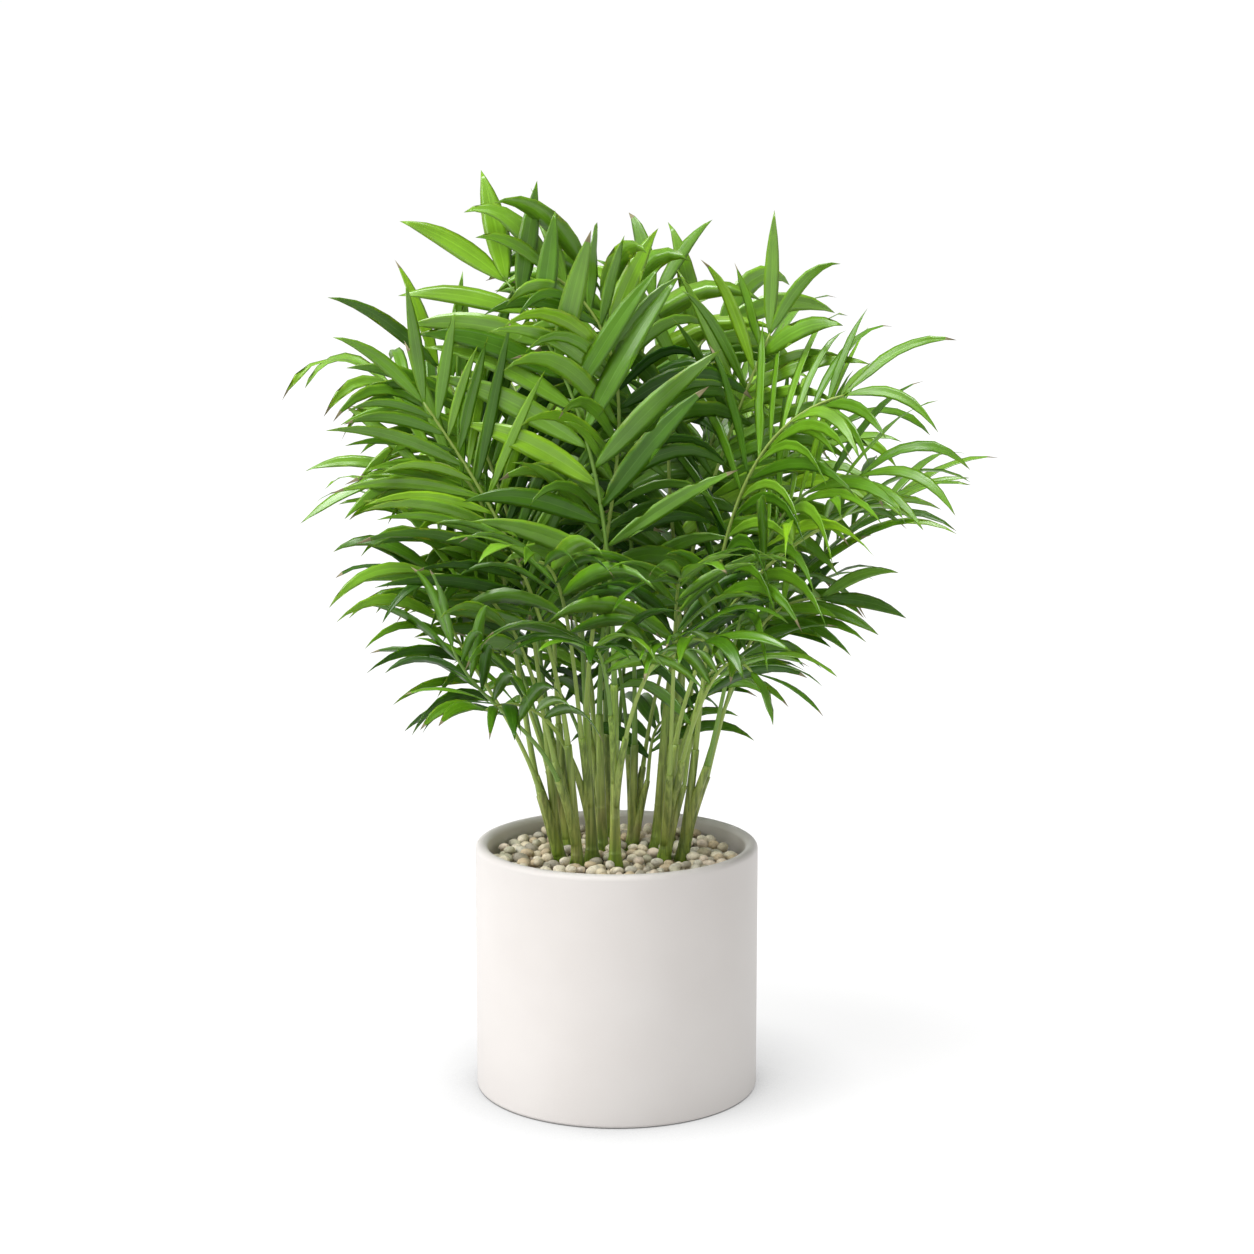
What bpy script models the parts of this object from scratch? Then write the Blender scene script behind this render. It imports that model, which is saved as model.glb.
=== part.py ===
"""A parlour palm in a straight-sided ceramic pot topped with pebbles.

Twelve slim canes rise from the pebbles in one clump and lean outwards. Each cane carries a few
fronds: a bare stalk, then a rib with a row of long pointed leaflets on each side and a forked pair
at the tip. All sizes are in metres, +Z is up, and the origin is the middle of the pot's underside.
"""

import math
import random

import bmesh
import bpy
from mathutils import Matrix, Vector
from mathutils.bvhtree import BVHTree

# Pot: a plain cylinder with a soft lip and a small round at the foot
POT_RADIUS = 0.100
POT_HEIGHT = 0.176
POT_WALL = 0.009
POT_FLOOR = 0.010
LIP_ROUND = 0.0045
FOOT_ROUND = 0.0020
POT_SIDES = 44

# Filling: potting mix below, a layer of pebbles above it
GAP = 0.0003
PEBBLE_TOP = 0.1620
PEBBLE_DEPTH = 0.018
FILL_RADIUS = POT_RADIUS - POT_WALL - GAP
FILL_SIDES = 36
PEBBLE_COUNT = 26
PEBBLE_RADIUS = 0.0066
PEBBLE_CLEAR = 0.0030

# Canes: where each one leaves the pebbles and how high it forks into stalks. The clump spreads
# as it rises.
CANES = {
    "cane_01": (-0.040, -0.006, 0.208),
    "cane_02": (-0.027, -0.020, 0.226),
    "cane_03": (-0.017, -0.008, 0.244),
    "cane_04": (-0.010, 0.018, 0.238),
    "cane_05": (-0.001, -0.026, 0.270),
    "cane_06": (0.011, 0.029, 0.214),
    "cane_07": (0.028, 0.024, 0.246),
    "cane_08": (0.033, -0.010, 0.224),
    "cane_09": (0.046, -0.004, 0.218),
    "cane_10": (-0.034, 0.034, 0.228),
    "cane_11": (-0.006, 0.054, 0.216),
    "cane_12": (0.038, 0.045, 0.230),
}
CANE_LEAN = 2.6
CANE_FOOT_RADIUS = 0.0050
CANE_TIP_RADIUS = 0.0036
CANE_FLARE = 1.20
CANE_SIDES = 8
CANE_STATIONS = (0.10, 0.40, 0.70)

# Fronds: stalk and rib
FORKS = (1.0, 0.84, 0.68, 0.52)
STALK_FOOT_RADIUS = 0.0030
STALK_RADIUS = 0.0020
RIB_TIP_RADIUS = 0.0012
STALK_LEANS = math.radians(9)
RIB_SEGMENTS = 6
BARE_LENGTH = 0.088
BARE_SHARE = 0.42

# Leaflets
LEAFLET_SPACING = 0.0262
LEAFLET_STAGGER = 0.40
LEAFLET_THICK_SHARE = 0.0125
LEAFLET_ROOT_HALF_WIDTH = 0.0008
LEAFLET_ROOT_THICK = 0.0006
LEAFLET_STATIONS = (0.34, 0.74)
LEAFLET_STEPS = 12
OPEN_ANGLE_FOOT = math.radians(56)
OPEN_ANGLE_TIP = math.radians(40)
FORK_ANGLE = math.radians(17)
LEAFLET_LIFT = 0.14
LEAFLET_RISE = 0.28
DROOP_SETS_IN = 1.7
CLEARANCE = 0.0005
LEAFLET_TRIES = 18
TRY_LIFTS = 0.05
TRY_TURNS = 0.02
TRY_SHORTENS = 0.012

# The crown's outline, as the furthest that a leaflet may reach
CROWN_FOOT = 0.232
CROWN_TOP = 0.648
CROWN_WIDEST_AT = 0.465
CROWN_REACH = 0.305
CROWN_FOOT_REACH = 0.150

# Fronds that the photograph shows clearly: cane, rib tip, rise of the tip in degrees, roll in
# degrees that turns the frond's face towards the front, longest leaflet, its half width, droop,
# and the number that deals out the small differences between its leaflets
SHOWN_FRONDS = (
    ("cane_05", (-0.075, -0.014, 0.569), 50, -72, 0.118, 0.0078, 0.6, 151),
    ("cane_03", (-0.044, -0.009, 0.573), 33, -58, 0.113, 0.0067, 1.5, 208),
    ("cane_01", (-0.124, 0.012, 0.510), 54, -63, 0.131, 0.0062, 1.0, 240),
    ("cane_09", (0.153, -0.049, 0.493), 14, 51, 0.131, 0.0055, 1.7, 149),
    ("cane_07", (0.106, 0.005, 0.533), 67, 83, 0.127, 0.0063, 1.2, 220),
    ("cane_02", (-0.130, -0.037, 0.488), 56, -80, 0.119, 0.0056, 0.8, 354),
    ("cane_01", (-0.146, -0.020, 0.441), -23, -61, 0.109, 0.0055, 0.6, 156),
    ("cane_09", (0.162, -0.064, 0.440), 3, 47, 0.143, 0.0054, 1.6, 104),
    ("cane_08", (0.151, -0.075, 0.414), 25, -17, 0.130, 0.0054, 1.7, 343),
    ("cane_02", (-0.123, -0.051, 0.373), 6, -44, 0.123, 0.0061, 1.3, 107),
    ("cane_09", (0.124, -0.044, 0.367), -1, 50, 0.092, 0.0057, 0.8, 62),
    ("cane_01", (-0.122, -0.048, 0.367), 71, -57, 0.121, 0.0053, 1.2, 21),
    ("cane_08", (0.090, -0.092, 0.312), -34, -8, 0.092, 0.0055, 1.2, 51),
    ("cane_02", (-0.111, -0.085, 0.331), 66, 12, 0.101, 0.0053, 1.6, 143),
    ("cane_01", (-0.167, 0.023, 0.502), 20, -11, 0.132, 0.0060, 2.2, 318),
    ("cane_09", (0.173, 0.044, 0.413), 25, 3, 0.141, 0.0055, 1.2, 54),
    ("cane_04", (-0.019, 0.010, 0.575), 35, 15, 0.129, 0.0076, 1.6, 370),
    ("cane_07", (0.073, 0.050, 0.537), 34, 72, 0.128, 0.0072, 1.8, 354),
    ("cane_08", (0.046, -0.112, 0.384), 4, 8, 0.104, 0.0066, 1.3, 45),
    ("cane_03", (-0.052, -0.108, 0.388), 4, -10, 0.104, 0.0066, 1.3, 281),
    ("cane_03", (-0.074, -0.092, 0.312), -12, -12, 0.096, 0.0060, 1.3, 83),
    ("cane_05", (-0.018, -0.112, 0.330), -10, -6, 0.096, 0.0060, 1.3, 340),
    ("cane_05", (0.058, -0.110, 0.336), -10, 12, 0.096, 0.0060, 1.3, 73),
)

# The rest of the crown, tier by tier: rib tip height, reach, rise, longest leaflet, its half
# width, headings
TIERS = (
    (0.548, 0.056, 66, 0.108, 0.0074, (60, 140)),
    (0.508, 0.128, 44, 0.120, 0.0068, (32, 80, 128)),
    (0.462, 0.166, 32, 0.122, 0.0064, (22, 58, 98, 136)),
    (0.404, 0.162, 24, 0.116, 0.0062, (42, 78, 112, 148)),
    (0.338, 0.136, 18, 0.102, 0.0058, (24, 66, 106, 152)),
    (0.292, 0.108, 12, 0.092, 0.0056, (8, 50, 90, 130)),
)
TIER_VARIES = 0.012
ROLL_VARIES = 20
MOST_FRONDS_ON_A_CANE = len(FORKS)

LEAF_GREEN = (0.060, 0.200, 0.022, 1.0)
CANE_GREEN = (0.215, 0.300, 0.085, 1.0)
CERAMIC_WHITE = (0.780, 0.760, 0.735, 1.0)
PEBBLE_GREY = (0.420, 0.385, 0.320, 1.0)
SOIL_BROWN = (0.060, 0.042, 0.030, 1.0)

UP = Vector((0, 0, 1))


def heading(degrees):
    """The level direction at this many degrees round from +X."""
    return Vector((math.cos(math.radians(degrees)), math.sin(math.radians(degrees)), 0))


def across(direction, line):
    """direction with its share along line taken out, as a unit vector."""
    return (direction - line * direction.dot(line)).normalized()


class Cane:
    """A slim upright stem, from the pebbles to its fork."""

    def __init__(self, name, foot, rng):
        self.name = name
        self.foot = Vector((foot[0], foot[1], PEBBLE_TOP + GAP))
        spread = 1 + CANE_LEAN * (foot[2] - PEBBLE_TOP)
        self.tip = Vector((foot[0] * spread, foot[1] * spread, foot[2]))
        self.line = (self.tip - self.foot).normalized()
        self.foot_radius = CANE_FOOT_RADIUS * rng.uniform(0.9, 1.1)
        self.loads = 0

    def point(self, t):
        return self.foot.lerp(self.tip, t)

    def radius(self, t):
        straight = self.foot_radius + (CANE_TIP_RADIUS - self.foot_radius) * t
        flare = 1 + (CANE_FLARE - 1) * max(0.0, 1 - t / CANE_STATIONS[0])
        return straight * flare

    def place(self, x, y, t):
        """A point of the skin. The foot is cut level and the tip square to the cane."""
        if t < 0.001:
            return self.foot + Vector((x, y, 0)) * self.radius(0)
        side = across(Vector((1, 0, 0)), self.line)
        return self.point(t) + (side * x + self.line.cross(side) * y) * self.radius(t)


class Leaflet:
    """A long pointed blade that leaves the rib at root and arches over under its own weight."""

    def __init__(self, root, direction, normal, length, breadth, droop):
        self.direction = direction.normalized()
        self.normal = across(normal, self.direction)
        self.length, self.breadth = length, breadth
        self.droop = droop * (0.25 + 0.75 * self.direction.to_2d().length)
        self.line = [root]
        for step in range(LEAFLET_STEPS):
            along = self.heading_at((step + 0.5) / LEAFLET_STEPS)
            self.line.append(self.line[-1] + along * (length / LEAFLET_STEPS))

    def heading_at(self, t):
        return (self.direction - UP * self.droop * t**DROOP_SETS_IN).normalized()

    def point(self, t):
        step = min(int(t * LEAFLET_STEPS), LEAFLET_STEPS - 1)
        return self.line[step].lerp(self.line[step + 1], t * LEAFLET_STEPS - step)

    def half_width(self, t):
        lens = 2.95 * t**0.62 * (1 - t) ** 1.05 * self.breadth
        return max(lens, LEAFLET_ROOT_HALF_WIDTH * (1 - t))

    def thickness(self, t):
        full = LEAFLET_THICK_SHARE * self.length
        return min(full, LEAFLET_ROOT_THICK + full * 4 * t) * (1 - 0.3 * t)

    def place(self, x, y, t, margin=0.0):
        """A point of the blade: x runs from edge to edge and y from the flat underside to the
        ridge, each from -1 to 1."""
        along = self.heading_at(t)
        upward = across(self.normal, along)
        side = upward.cross(along)
        out = x * (self.half_width(t) + margin)
        lift = max(y, 0) * self.thickness(t) + y * margin
        return self.point(t) + side * out + upward * lift


class Frond:
    """A stalk and rib along one curve, with its leaflets."""

    def __init__(self, cane, tip, rise, roll, leaf_length, leaf_breadth, droop, deal, swing=0.0):
        self.cane, self.tip, self.roll = cane, tip, math.radians(roll)
        self.leaf_length, self.leaf_breadth, self.droop = leaf_length, leaf_breadth, droop
        self.deal, self.leaflets = deal, []
        self.fork = fork = FORKS[cane.loads]
        reach = tip - cane.point(fork)
        out = Matrix.Rotation(swing, 3, "Z") @ across(reach, UP)
        out = across(out, cane.line)
        if cane.loads == 0:
            start = cane.tip + cane.line * GAP
            leave = cane.line
        else:
            beside = cane.radius(fork) + STALK_FOOT_RADIUS + GAP
            start = cane.point(fork) + out * beside
            leave = cane.line * math.cos(STALK_LEANS) + out * math.sin(STALK_LEANS)
        level = across(reach, UP)
        arrive = level * math.cos(math.radians(rise)) + UP * math.sin(math.radians(rise))
        span = (tip - start).length
        self.knots = (start, start + leave * span * 0.42, tip - arrive * span * 0.33, tip)
        self.inward = -level
        self.out = out
        self.length = span * 1.03
        self.bare = min(BARE_LENGTH, self.length * BARE_SHARE) / self.length
        stations = [i / RIB_SEGMENTS for i in range(RIB_SEGMENTS + 1)]
        self.line = [self.curve(t) for t in stations]

    def curve(self, t):
        a, b, c, d = self.knots
        s = 1 - t
        return a * s**3 + b * 3 * s * s * t + c * 3 * s * t * t + d * t**3

    def point(self, t):
        step = min(int(t * RIB_SEGMENTS), RIB_SEGMENTS - 1)
        return self.line[step].lerp(self.line[step + 1], t * RIB_SEGMENTS - step)

    def radius(self, t):
        foot = (STALK_FOOT_RADIUS - STALK_RADIUS) * max(0.0, 1 - t * RIB_SEGMENTS)
        return STALK_RADIUS + foot + (RIB_TIP_RADIUS - STALK_RADIUS) * t

    def frame(self, t):
        """The rib's heading, the way that its upper face looks, and its side."""
        along = (self.curve(min(t + 0.02, 1.0)) - self.curve(t - 0.02)).normalized()
        face = across(self.inward * 0.75 + UP * 0.65, along)
        rolled = self.roll * min(1.0, t / self.bare)
        face = Matrix.Rotation(rolled, 3, along) @ face
        return along, face, face.cross(along)

    def place(self, x, y, t, margin=0.0):
        _, face, side = self.frame(t)
        if t < 0.001 and self.cane.loads:
            face = across(-self.out, self.frame(t)[0])
            side = face.cross(self.frame(t)[0])
        return self.point(t) + (side * x + face * y) * (self.radius(t) + margin)

    def leaflet_plan(self):
        """Root place along the rib, side and opening angle of each leaflet, tip pair first."""
        yield 1 - 0.0015 / self.length, -1, FORK_ANGLE
        yield 1 - 0.0015 / self.length, 1, FORK_ANGLE
        leafy = self.length * (1 - self.bare)
        rows = max(3, round(leafy / LEAFLET_SPACING) - 1)
        for row in range(rows, 0, -1):
            for side in (-1, 1):
                share = (row - 0.5 - side * LEAFLET_STAGGER / 2) / (rows + 0.35)
                angle = OPEN_ANGLE_FOOT + (OPEN_ANGLE_TIP - OPEN_ANGLE_FOOT) * share
                yield self.bare + (1 - self.bare) * share, side, angle

    def leaflet(self, t, side, angle, tries):
        """The leaflet for one place on the rib. Each further try lifts or lowers it more, turns
        it a little and shortens it."""
        rng = random.Random(f"{self.deal} {t:.3f} {side}")
        nudge = (tries + 1) // 2 * (1 if tries % 2 else -1)
        along, face, flank = self.frame(t)
        share = (t - self.bare) / (1 - self.bare)
        length = self.leaf_length * (0.70 + 0.30 * math.sin(math.pi * min(1, share + 0.12)))
        length *= rng.uniform(0.86, 1.08) * (1 - TRY_SHORTENS * tries)
        angle += rng.uniform(-0.13, 0.13) - TRY_TURNS * nudge
        lift = LEAFLET_LIFT + rng.uniform(-0.16, 0.16) + TRY_LIFTS * nudge
        direction = along * math.cos(angle) + flank * side * math.sin(angle) + face * lift
        direction += UP * LEAFLET_RISE * along.to_2d().length
        normal = face + flank * rng.uniform(-0.35, 0.35)
        droop = self.droop * rng.uniform(0.6, 1.3)
        breadth = self.leaf_breadth * rng.uniform(0.88, 1.12)
        return Leaflet(self.point(t), direction, normal, length, breadth, droop)


def cylinder_faces(sides, stations, pointed):
    """Corner places (x, y, t) and faces of a closed prism or spike along t from 0 to 1, made
    from a cone primitive that is cut at the stations."""
    bm = bmesh.new()
    bmesh.ops.create_cone(
        bm, cap_ends=True, segments=sides, radius1=1, radius2=0 if pointed else 1, depth=1
    )
    for cut in stations:
        bmesh.ops.bisect_plane(
            bm,
            geom=bm.verts[:] + bm.edges[:] + bm.faces[:],
            plane_co=(0, 0, cut - 0.5),
            plane_no=(0, 0, 1),
        )
    bm.verts.ensure_lookup_table()
    places = []
    for vert in bm.verts:
        t = vert.co.z + 0.5
        flat = vert.co.to_2d()
        x, y = flat.normalized() if flat.length > 1e-6 else (0.0, 0.0)
        places.append((x, y, t))
    faces = [[v.index for v in face.verts] for face in bm.faces]
    bm.free()
    return places, faces


CANE_BLANK = cylinder_faces(CANE_SIDES, CANE_STATIONS, False)
RIB_BLANK = cylinder_faces(4, [i / RIB_SEGMENTS for i in range(1, RIB_SEGMENTS)], False)
LEAFLET_BLANK = cylinder_faces(3, LEAFLET_STATIONS, True)


def shape_of(blank, limb, **margin):
    places, faces = blank
    return [limb.place(x, y, t, **margin) for x, y, t in places], faces


class Obstacle:
    """A shape with its box, so that most pairs need no closer test."""

    def __init__(self, points, faces):
        self.tree = BVHTree.FromPolygons(points, faces)
        self.low = Vector(map(min, *points))
        self.high = Vector(map(max, *points))

    def meets(self, other):
        if any(self.low[i] > other.high[i] or other.low[i] > self.high[i] for i in range(3)):
            return False
        return bool(self.tree.overlap(other.tree))


def in_crown(point):
    """Whether a point lies in the crown's outline: a bowl below its widest level, a dome above."""
    if not CROWN_FOOT < point.z < CROWN_TOP:
        return False
    if point.z > CROWN_WIDEST_AT:
        rise = (point.z - CROWN_WIDEST_AT) / (CROWN_TOP - CROWN_WIDEST_AT)
        reach = CROWN_REACH * math.sqrt(1 - 0.94 * rise**2)
    else:
        fall = (CROWN_WIDEST_AT - point.z) / (CROWN_WIDEST_AT - CROWN_FOOT)
        reach = CROWN_REACH + (CROWN_FOOT_REACH - CROWN_REACH) * fall
    return point.to_2d().length < reach


def plan_canes():
    rng = random.Random(11)
    return {name: Cane(name, foot, rng) for name, foot in CANES.items()}


def frond_wishes(canes):
    """Cane, rib tip and manner of growth of every frond, the shown ones first."""
    rng = random.Random(5)
    for name, tip, *manner in SHOWN_FRONDS:
        yield canes[name], Vector(tip), *manner
    for height, reach, rise, length, breadth, headings in TIERS:
        for degrees in headings:
            out = heading(degrees + rng.uniform(-8, 8)) * reach * rng.uniform(0.92, 1.06)
            tip = out + UP * (height + rng.uniform(-TIER_VARIES, TIER_VARIES))
            free = [c for c in canes.values() if c.loads < MOST_FRONDS_ON_A_CANE]
            cane = min(
                free,
                key=lambda c: (c.tip - tip * 0.4).to_2d().length + 0.016 * c.loads,
            )
            roll = rng.uniform(-ROLL_VARIES, ROLL_VARIES)
            yield cane, tip, rise, roll, length, breadth, rng.uniform(1.2, 1.7), rng.random()


def plan_fronds(canes):
    """Every frond, its rib clear of all canes and other ribs, then its leaflets clear of all.
    Only the two leaflets of the forked tip may meet, where they leave the rib."""
    cane_shapes = {c.name: Obstacle(*shape_of(CANE_BLANK, c)) for c in canes.values()}
    fronds, ribs = [], []
    for number, wish in enumerate(frond_wishes(canes)):
        frond, rib = clear_rib(number, wish, cane_shapes, ribs)
        frond.name = f"frond_{number + 1:02d}"
        fronds.append(frond)
        ribs.append(rib)
        wish[0].loads += 1
    blades = []
    for number, frond in enumerate(fronds):
        others = [*cane_shapes.values(), *ribs[:number], *ribs[number + 1 :], *blades]
        own = []
        for place in frond.leaflet_plan():
            beside = own[1:] if len(own) == 1 else own
            found = clear_leaflet(frond, place, others + beside)
            if found:
                frond.leaflets.append(found[0])
                own.append(found[1])
        blades += own
    return fronds


def clear_rib(number, wish, cane_shapes, ribs):
    """The first of a few swings and small moves of the tip that leaves the rib clear."""
    cane, tip, *manner = wish
    rng = random.Random(100 + number)
    for tries in range(60):
        moved = tip + Vector([rng.uniform(-1, 1) * 0.0012 * tries for _ in range(3)])
        swing = rng.uniform(-1, 1) * 0.035 * tries
        frond = Frond(cane, moved, *manner, swing)
        bare = Obstacle(*shape_of(RIB_BLANK, frond))
        wide = Obstacle(*shape_of(RIB_BLANK, frond, margin=CLEARANCE))
        others = [shape for name, shape in cane_shapes.items() if name != cane.name]
        if bare.meets(cane_shapes[cane.name]) or any(map(wide.meets, others + ribs)):
            continue
        return frond, bare
    raise ValueError(f"no clear way for frond {number + 1} on {cane.name}")


def clear_leaflet(frond, place, others):
    """The first of a few turns of one leaflet that touches nothing, with its shape, or None."""
    for tries in range(LEAFLET_TRIES):
        leaflet = frond.leaflet(*place, tries)
        if not in_crown(leaflet.point(1)):
            continue
        wide = Obstacle(*shape_of(LEAFLET_BLANK, leaflet, margin=CLEARANCE))
        if not any(map(wide.meets, others)):
            return leaflet, Obstacle(*shape_of(LEAFLET_BLANK, leaflet))
    return None


def clear_scene():
    for obj in list(bpy.data.objects):
        bpy.data.objects.remove(obj)


def collection(name):
    made = bpy.data.collections.new(name)
    bpy.context.scene.collection.children.link(made)
    return made


def material(name, colour, roughness):
    made = bpy.data.materials.new(name)
    made.use_nodes = True
    surface = made.node_tree.nodes["Principled BSDF"]
    surface.inputs["Base Color"].default_value = colour
    surface.inputs["Roughness"].default_value = roughness
    surface.inputs["Metallic"].default_value = 0.0
    return made


def add_object(name, mesh, group, finish):
    if finish and not mesh.materials:
        mesh.materials.append(finish)
    obj = bpy.data.objects.new(name, mesh)
    group.objects.link(obj)
    return obj


def add_shape(name, points, faces, group, finish):
    mesh = bpy.data.meshes.new(name)
    mesh.from_pydata(points, [], faces)
    mesh.shade_smooth()
    mesh.set_sharp_from_angle(angle=math.radians(40))
    return add_object(name, mesh, group, finish)


def fuse(obj, parts):
    """Joins every object of the collection parts to obj by one Boolean union, and removes them."""
    union = obj.modifiers.new("union", "BOOLEAN")
    union.operation = "UNION"
    union.operand_type = "COLLECTION"
    union.collection = parts
    union.solver = "MANIFOLD"
    graph = bpy.context.evaluated_depsgraph_get()
    joined = bpy.data.meshes.new_from_object(obj.evaluated_get(graph))
    obj.modifiers.remove(union)
    obj.data = joined
    for part in list(parts.objects):
        bpy.data.objects.remove(part)
    bpy.data.collections.remove(parts)


def turned(name, profile, sides, group, finish):
    """A closed round body from a profile that runs from the axis, out, and back to the axis."""
    mesh = bpy.data.meshes.new(name)
    points = [(radius, 0, height) for radius, height in profile]
    mesh.from_pydata(points, [(i, i + 1) for i in range(len(points) - 1)], [])
    obj = add_object(name, mesh, group, finish)
    screw = obj.modifiers.new("turn", "SCREW")
    screw.steps = screw.render_steps = sides
    screw.use_merge_vertices = True
    screw.merge_threshold = 0.00001
    graph = bpy.context.evaluated_depsgraph_get()
    body = bpy.data.meshes.new_from_object(obj.evaluated_get(graph))
    obj.modifiers.remove(screw)
    obj.data = body
    body.shade_smooth()
    body.set_sharp_from_angle(angle=math.radians(35))
    return obj


def arc(centre_radius, centre_height, size, start, end, steps):
    """Profile points round a quarter or half circle, from start to end in degrees."""
    for step in range(steps + 1):
        angle = math.radians(start + (end - start) * step / steps)
        yield centre_radius + size * math.cos(angle), centre_height + size * math.sin(angle)


def make_pot(group, finish):
    inside = POT_RADIUS - POT_WALL
    lip_height = POT_HEIGHT - LIP_ROUND
    profile = [(0, POT_FLOOR), (inside, POT_FLOOR)]
    profile += arc(POT_RADIUS - POT_WALL / 2, lip_height, LIP_ROUND, 180, 0, 4)
    profile += arc(POT_RADIUS - FOOT_ROUND, FOOT_ROUND, FOOT_ROUND, 0, -90, 2)
    profile += [(0, 0)]
    return turned("pot", profile, POT_SIDES, group, finish)


def make_potting_mix(group, finish):
    low = POT_FLOOR + GAP
    high = PEBBLE_TOP - PEBBLE_DEPTH - GAP
    profile = [(0, high), (FILL_RADIUS, high), (FILL_RADIUS, low), (0, low)]
    return turned("potting_mix", profile, FILL_SIDES, group, finish)


def pebble_places(canes):
    """Places on a sunflower spiral, kept clear of the canes."""
    turn = math.pi * (3 - math.sqrt(5))
    outer = FILL_RADIUS - PEBBLE_RADIUS * 1.25
    for step in range(PEBBLE_COUNT):
        away = outer * math.sqrt((step + 0.5) / PEBBLE_COUNT)
        place = Vector((math.cos(step * turn), math.sin(step * turn), 0)) * away
        clear = PEBBLE_RADIUS * 1.2 + CANE_FOOT_RADIUS * CANE_FLARE + PEBBLE_CLEAR
        if all((place - cane.foot).to_2d().length > clear for cane in canes.values()):
            yield place + UP * PEBBLE_TOP


def make_pebbles(canes, group, finish):
    """The pebble layer: a disc with the largest stones of its top fused on."""
    low = PEBBLE_TOP - PEBBLE_DEPTH
    profile = [(0, PEBBLE_TOP), (FILL_RADIUS, PEBBLE_TOP), (FILL_RADIUS, low), (0, low)]
    layer = turned("pebble_layer", profile, FILL_SIDES, group, finish)
    stones = collection("stones")
    rng = random.Random(3)
    for place in pebble_places(canes):
        bm = bmesh.new()
        bmesh.ops.create_icosphere(bm, subdivisions=1, radius=PEBBLE_RADIUS)
        stretch = (rng.uniform(0.92, 1.2), rng.uniform(0.8, 1.0), rng.uniform(0.62, 0.8))
        bmesh.ops.scale(bm, vec=stretch, verts=bm.verts)
        turn = Matrix.Rotation(rng.uniform(0, math.tau), 3, "Z")
        tilt = Matrix.Rotation(rng.uniform(-0.3, 0.3), 3, "X")
        bmesh.ops.rotate(bm, matrix=turn @ tilt, verts=bm.verts)
        bmesh.ops.translate(bm, vec=place + UP * rng.uniform(-0.0006, 0.0010), verts=bm.verts)
        mesh = bpy.data.meshes.new("stone")
        bm.to_mesh(mesh)
        bm.free()
        add_object("stone", mesh, stones, None)
    fuse(layer, stones)
    return layer


def make_frond(frond, group, finish):
    """One frond: its stalk and rib, with the leaflets joined on at their roots."""
    rib = add_shape(frond.name, *shape_of(RIB_BLANK, frond), group, finish)
    blades = collection(frond.name + "_leaflets")
    for leaflet in frond.leaflets:
        add_shape("leaflet", *shape_of(LEAFLET_BLANK, leaflet), blades, finish)
    fuse(rib, blades)
    return rib


def main():
    clear_scene()
    palm = collection("parlour_palm")
    ceramic = material("pot_ceramic", CERAMIC_WHITE, 0.55)
    pebble = material("pebble_stone", PEBBLE_GREY, 0.8)
    soil = material("potting_soil", SOIL_BROWN, 0.95)
    bark = material("cane_skin", CANE_GREEN, 0.5)
    leaf = material("frond_leaf", LEAF_GREEN, 0.45)
    canes = plan_canes()
    fronds = plan_fronds(canes)
    make_pot(palm, ceramic)
    make_potting_mix(palm, soil)
    make_pebbles(canes, palm, pebble)
    for cane in canes.values():
        add_shape(cane.name, *shape_of(CANE_BLANK, cane), palm, bark)
    for frond in fronds:
        make_frond(frond, palm, leaf)
    print(len(fronds), "fronds", sum(len(f.leaflets) for f in fronds), "leaflets")


main()
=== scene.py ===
"""The finish of the parlour palm: pot, pebbles, canes, stalks and leaflets, with light and camera.

The plant grows by the same rule and the same named sizes as its solids, so each modelled leaflet
lies where its solid does, with a finer outline, ribs and an even arch.
"""

import math
import random

import bmesh
import bpy
from mathutils import Matrix, Vector
from mathutils.bvhtree import BVHTree


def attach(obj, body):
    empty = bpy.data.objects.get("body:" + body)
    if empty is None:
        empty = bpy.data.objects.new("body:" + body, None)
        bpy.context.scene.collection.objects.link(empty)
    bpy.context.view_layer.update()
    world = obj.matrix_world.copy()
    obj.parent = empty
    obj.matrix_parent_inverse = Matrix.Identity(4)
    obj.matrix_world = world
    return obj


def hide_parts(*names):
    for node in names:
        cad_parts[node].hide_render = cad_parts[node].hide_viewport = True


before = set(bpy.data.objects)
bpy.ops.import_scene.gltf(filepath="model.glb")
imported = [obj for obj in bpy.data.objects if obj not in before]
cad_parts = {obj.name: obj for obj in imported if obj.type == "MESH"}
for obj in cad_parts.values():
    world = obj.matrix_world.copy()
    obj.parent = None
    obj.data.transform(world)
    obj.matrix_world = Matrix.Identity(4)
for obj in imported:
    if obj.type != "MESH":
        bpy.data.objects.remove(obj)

# Pot
POT_RADIUS = 0.100
POT_HEIGHT = 0.176
POT_WALL = 0.009
POT_FLOOR = 0.010
LIP_ROUND = 0.0042
FOOT_ROUND = 0.0022

# Pebbles
GAP = 0.0003
PEBBLE_TOP = 0.1620
FILL_RADIUS = POT_RADIUS - POT_WALL - GAP
PEBBLE_SIZES = (0.0040, 0.0062)
PEBBLE_CROWN = 0.1712
PEBBLE_DROPS = 2600
PEBBLE_SHAPES = 9
PEBBLE_STRETCH = ((1.0, 1.28), (0.84, 1.04), (0.66, 0.86))
PEBBLE_TILT = 0.45
PEBBLE_NESTLES = 0.86
PEBBLE_FLATNESS = 0.80
PEBBLE_SINKS = 0.004
PEBBLE_BY_CANE = 0.72
PEBBLE_TOP_SHARE = 0.75
GRIT_DEPTH = 0.012
GRIT_DROP = 0.010

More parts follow.
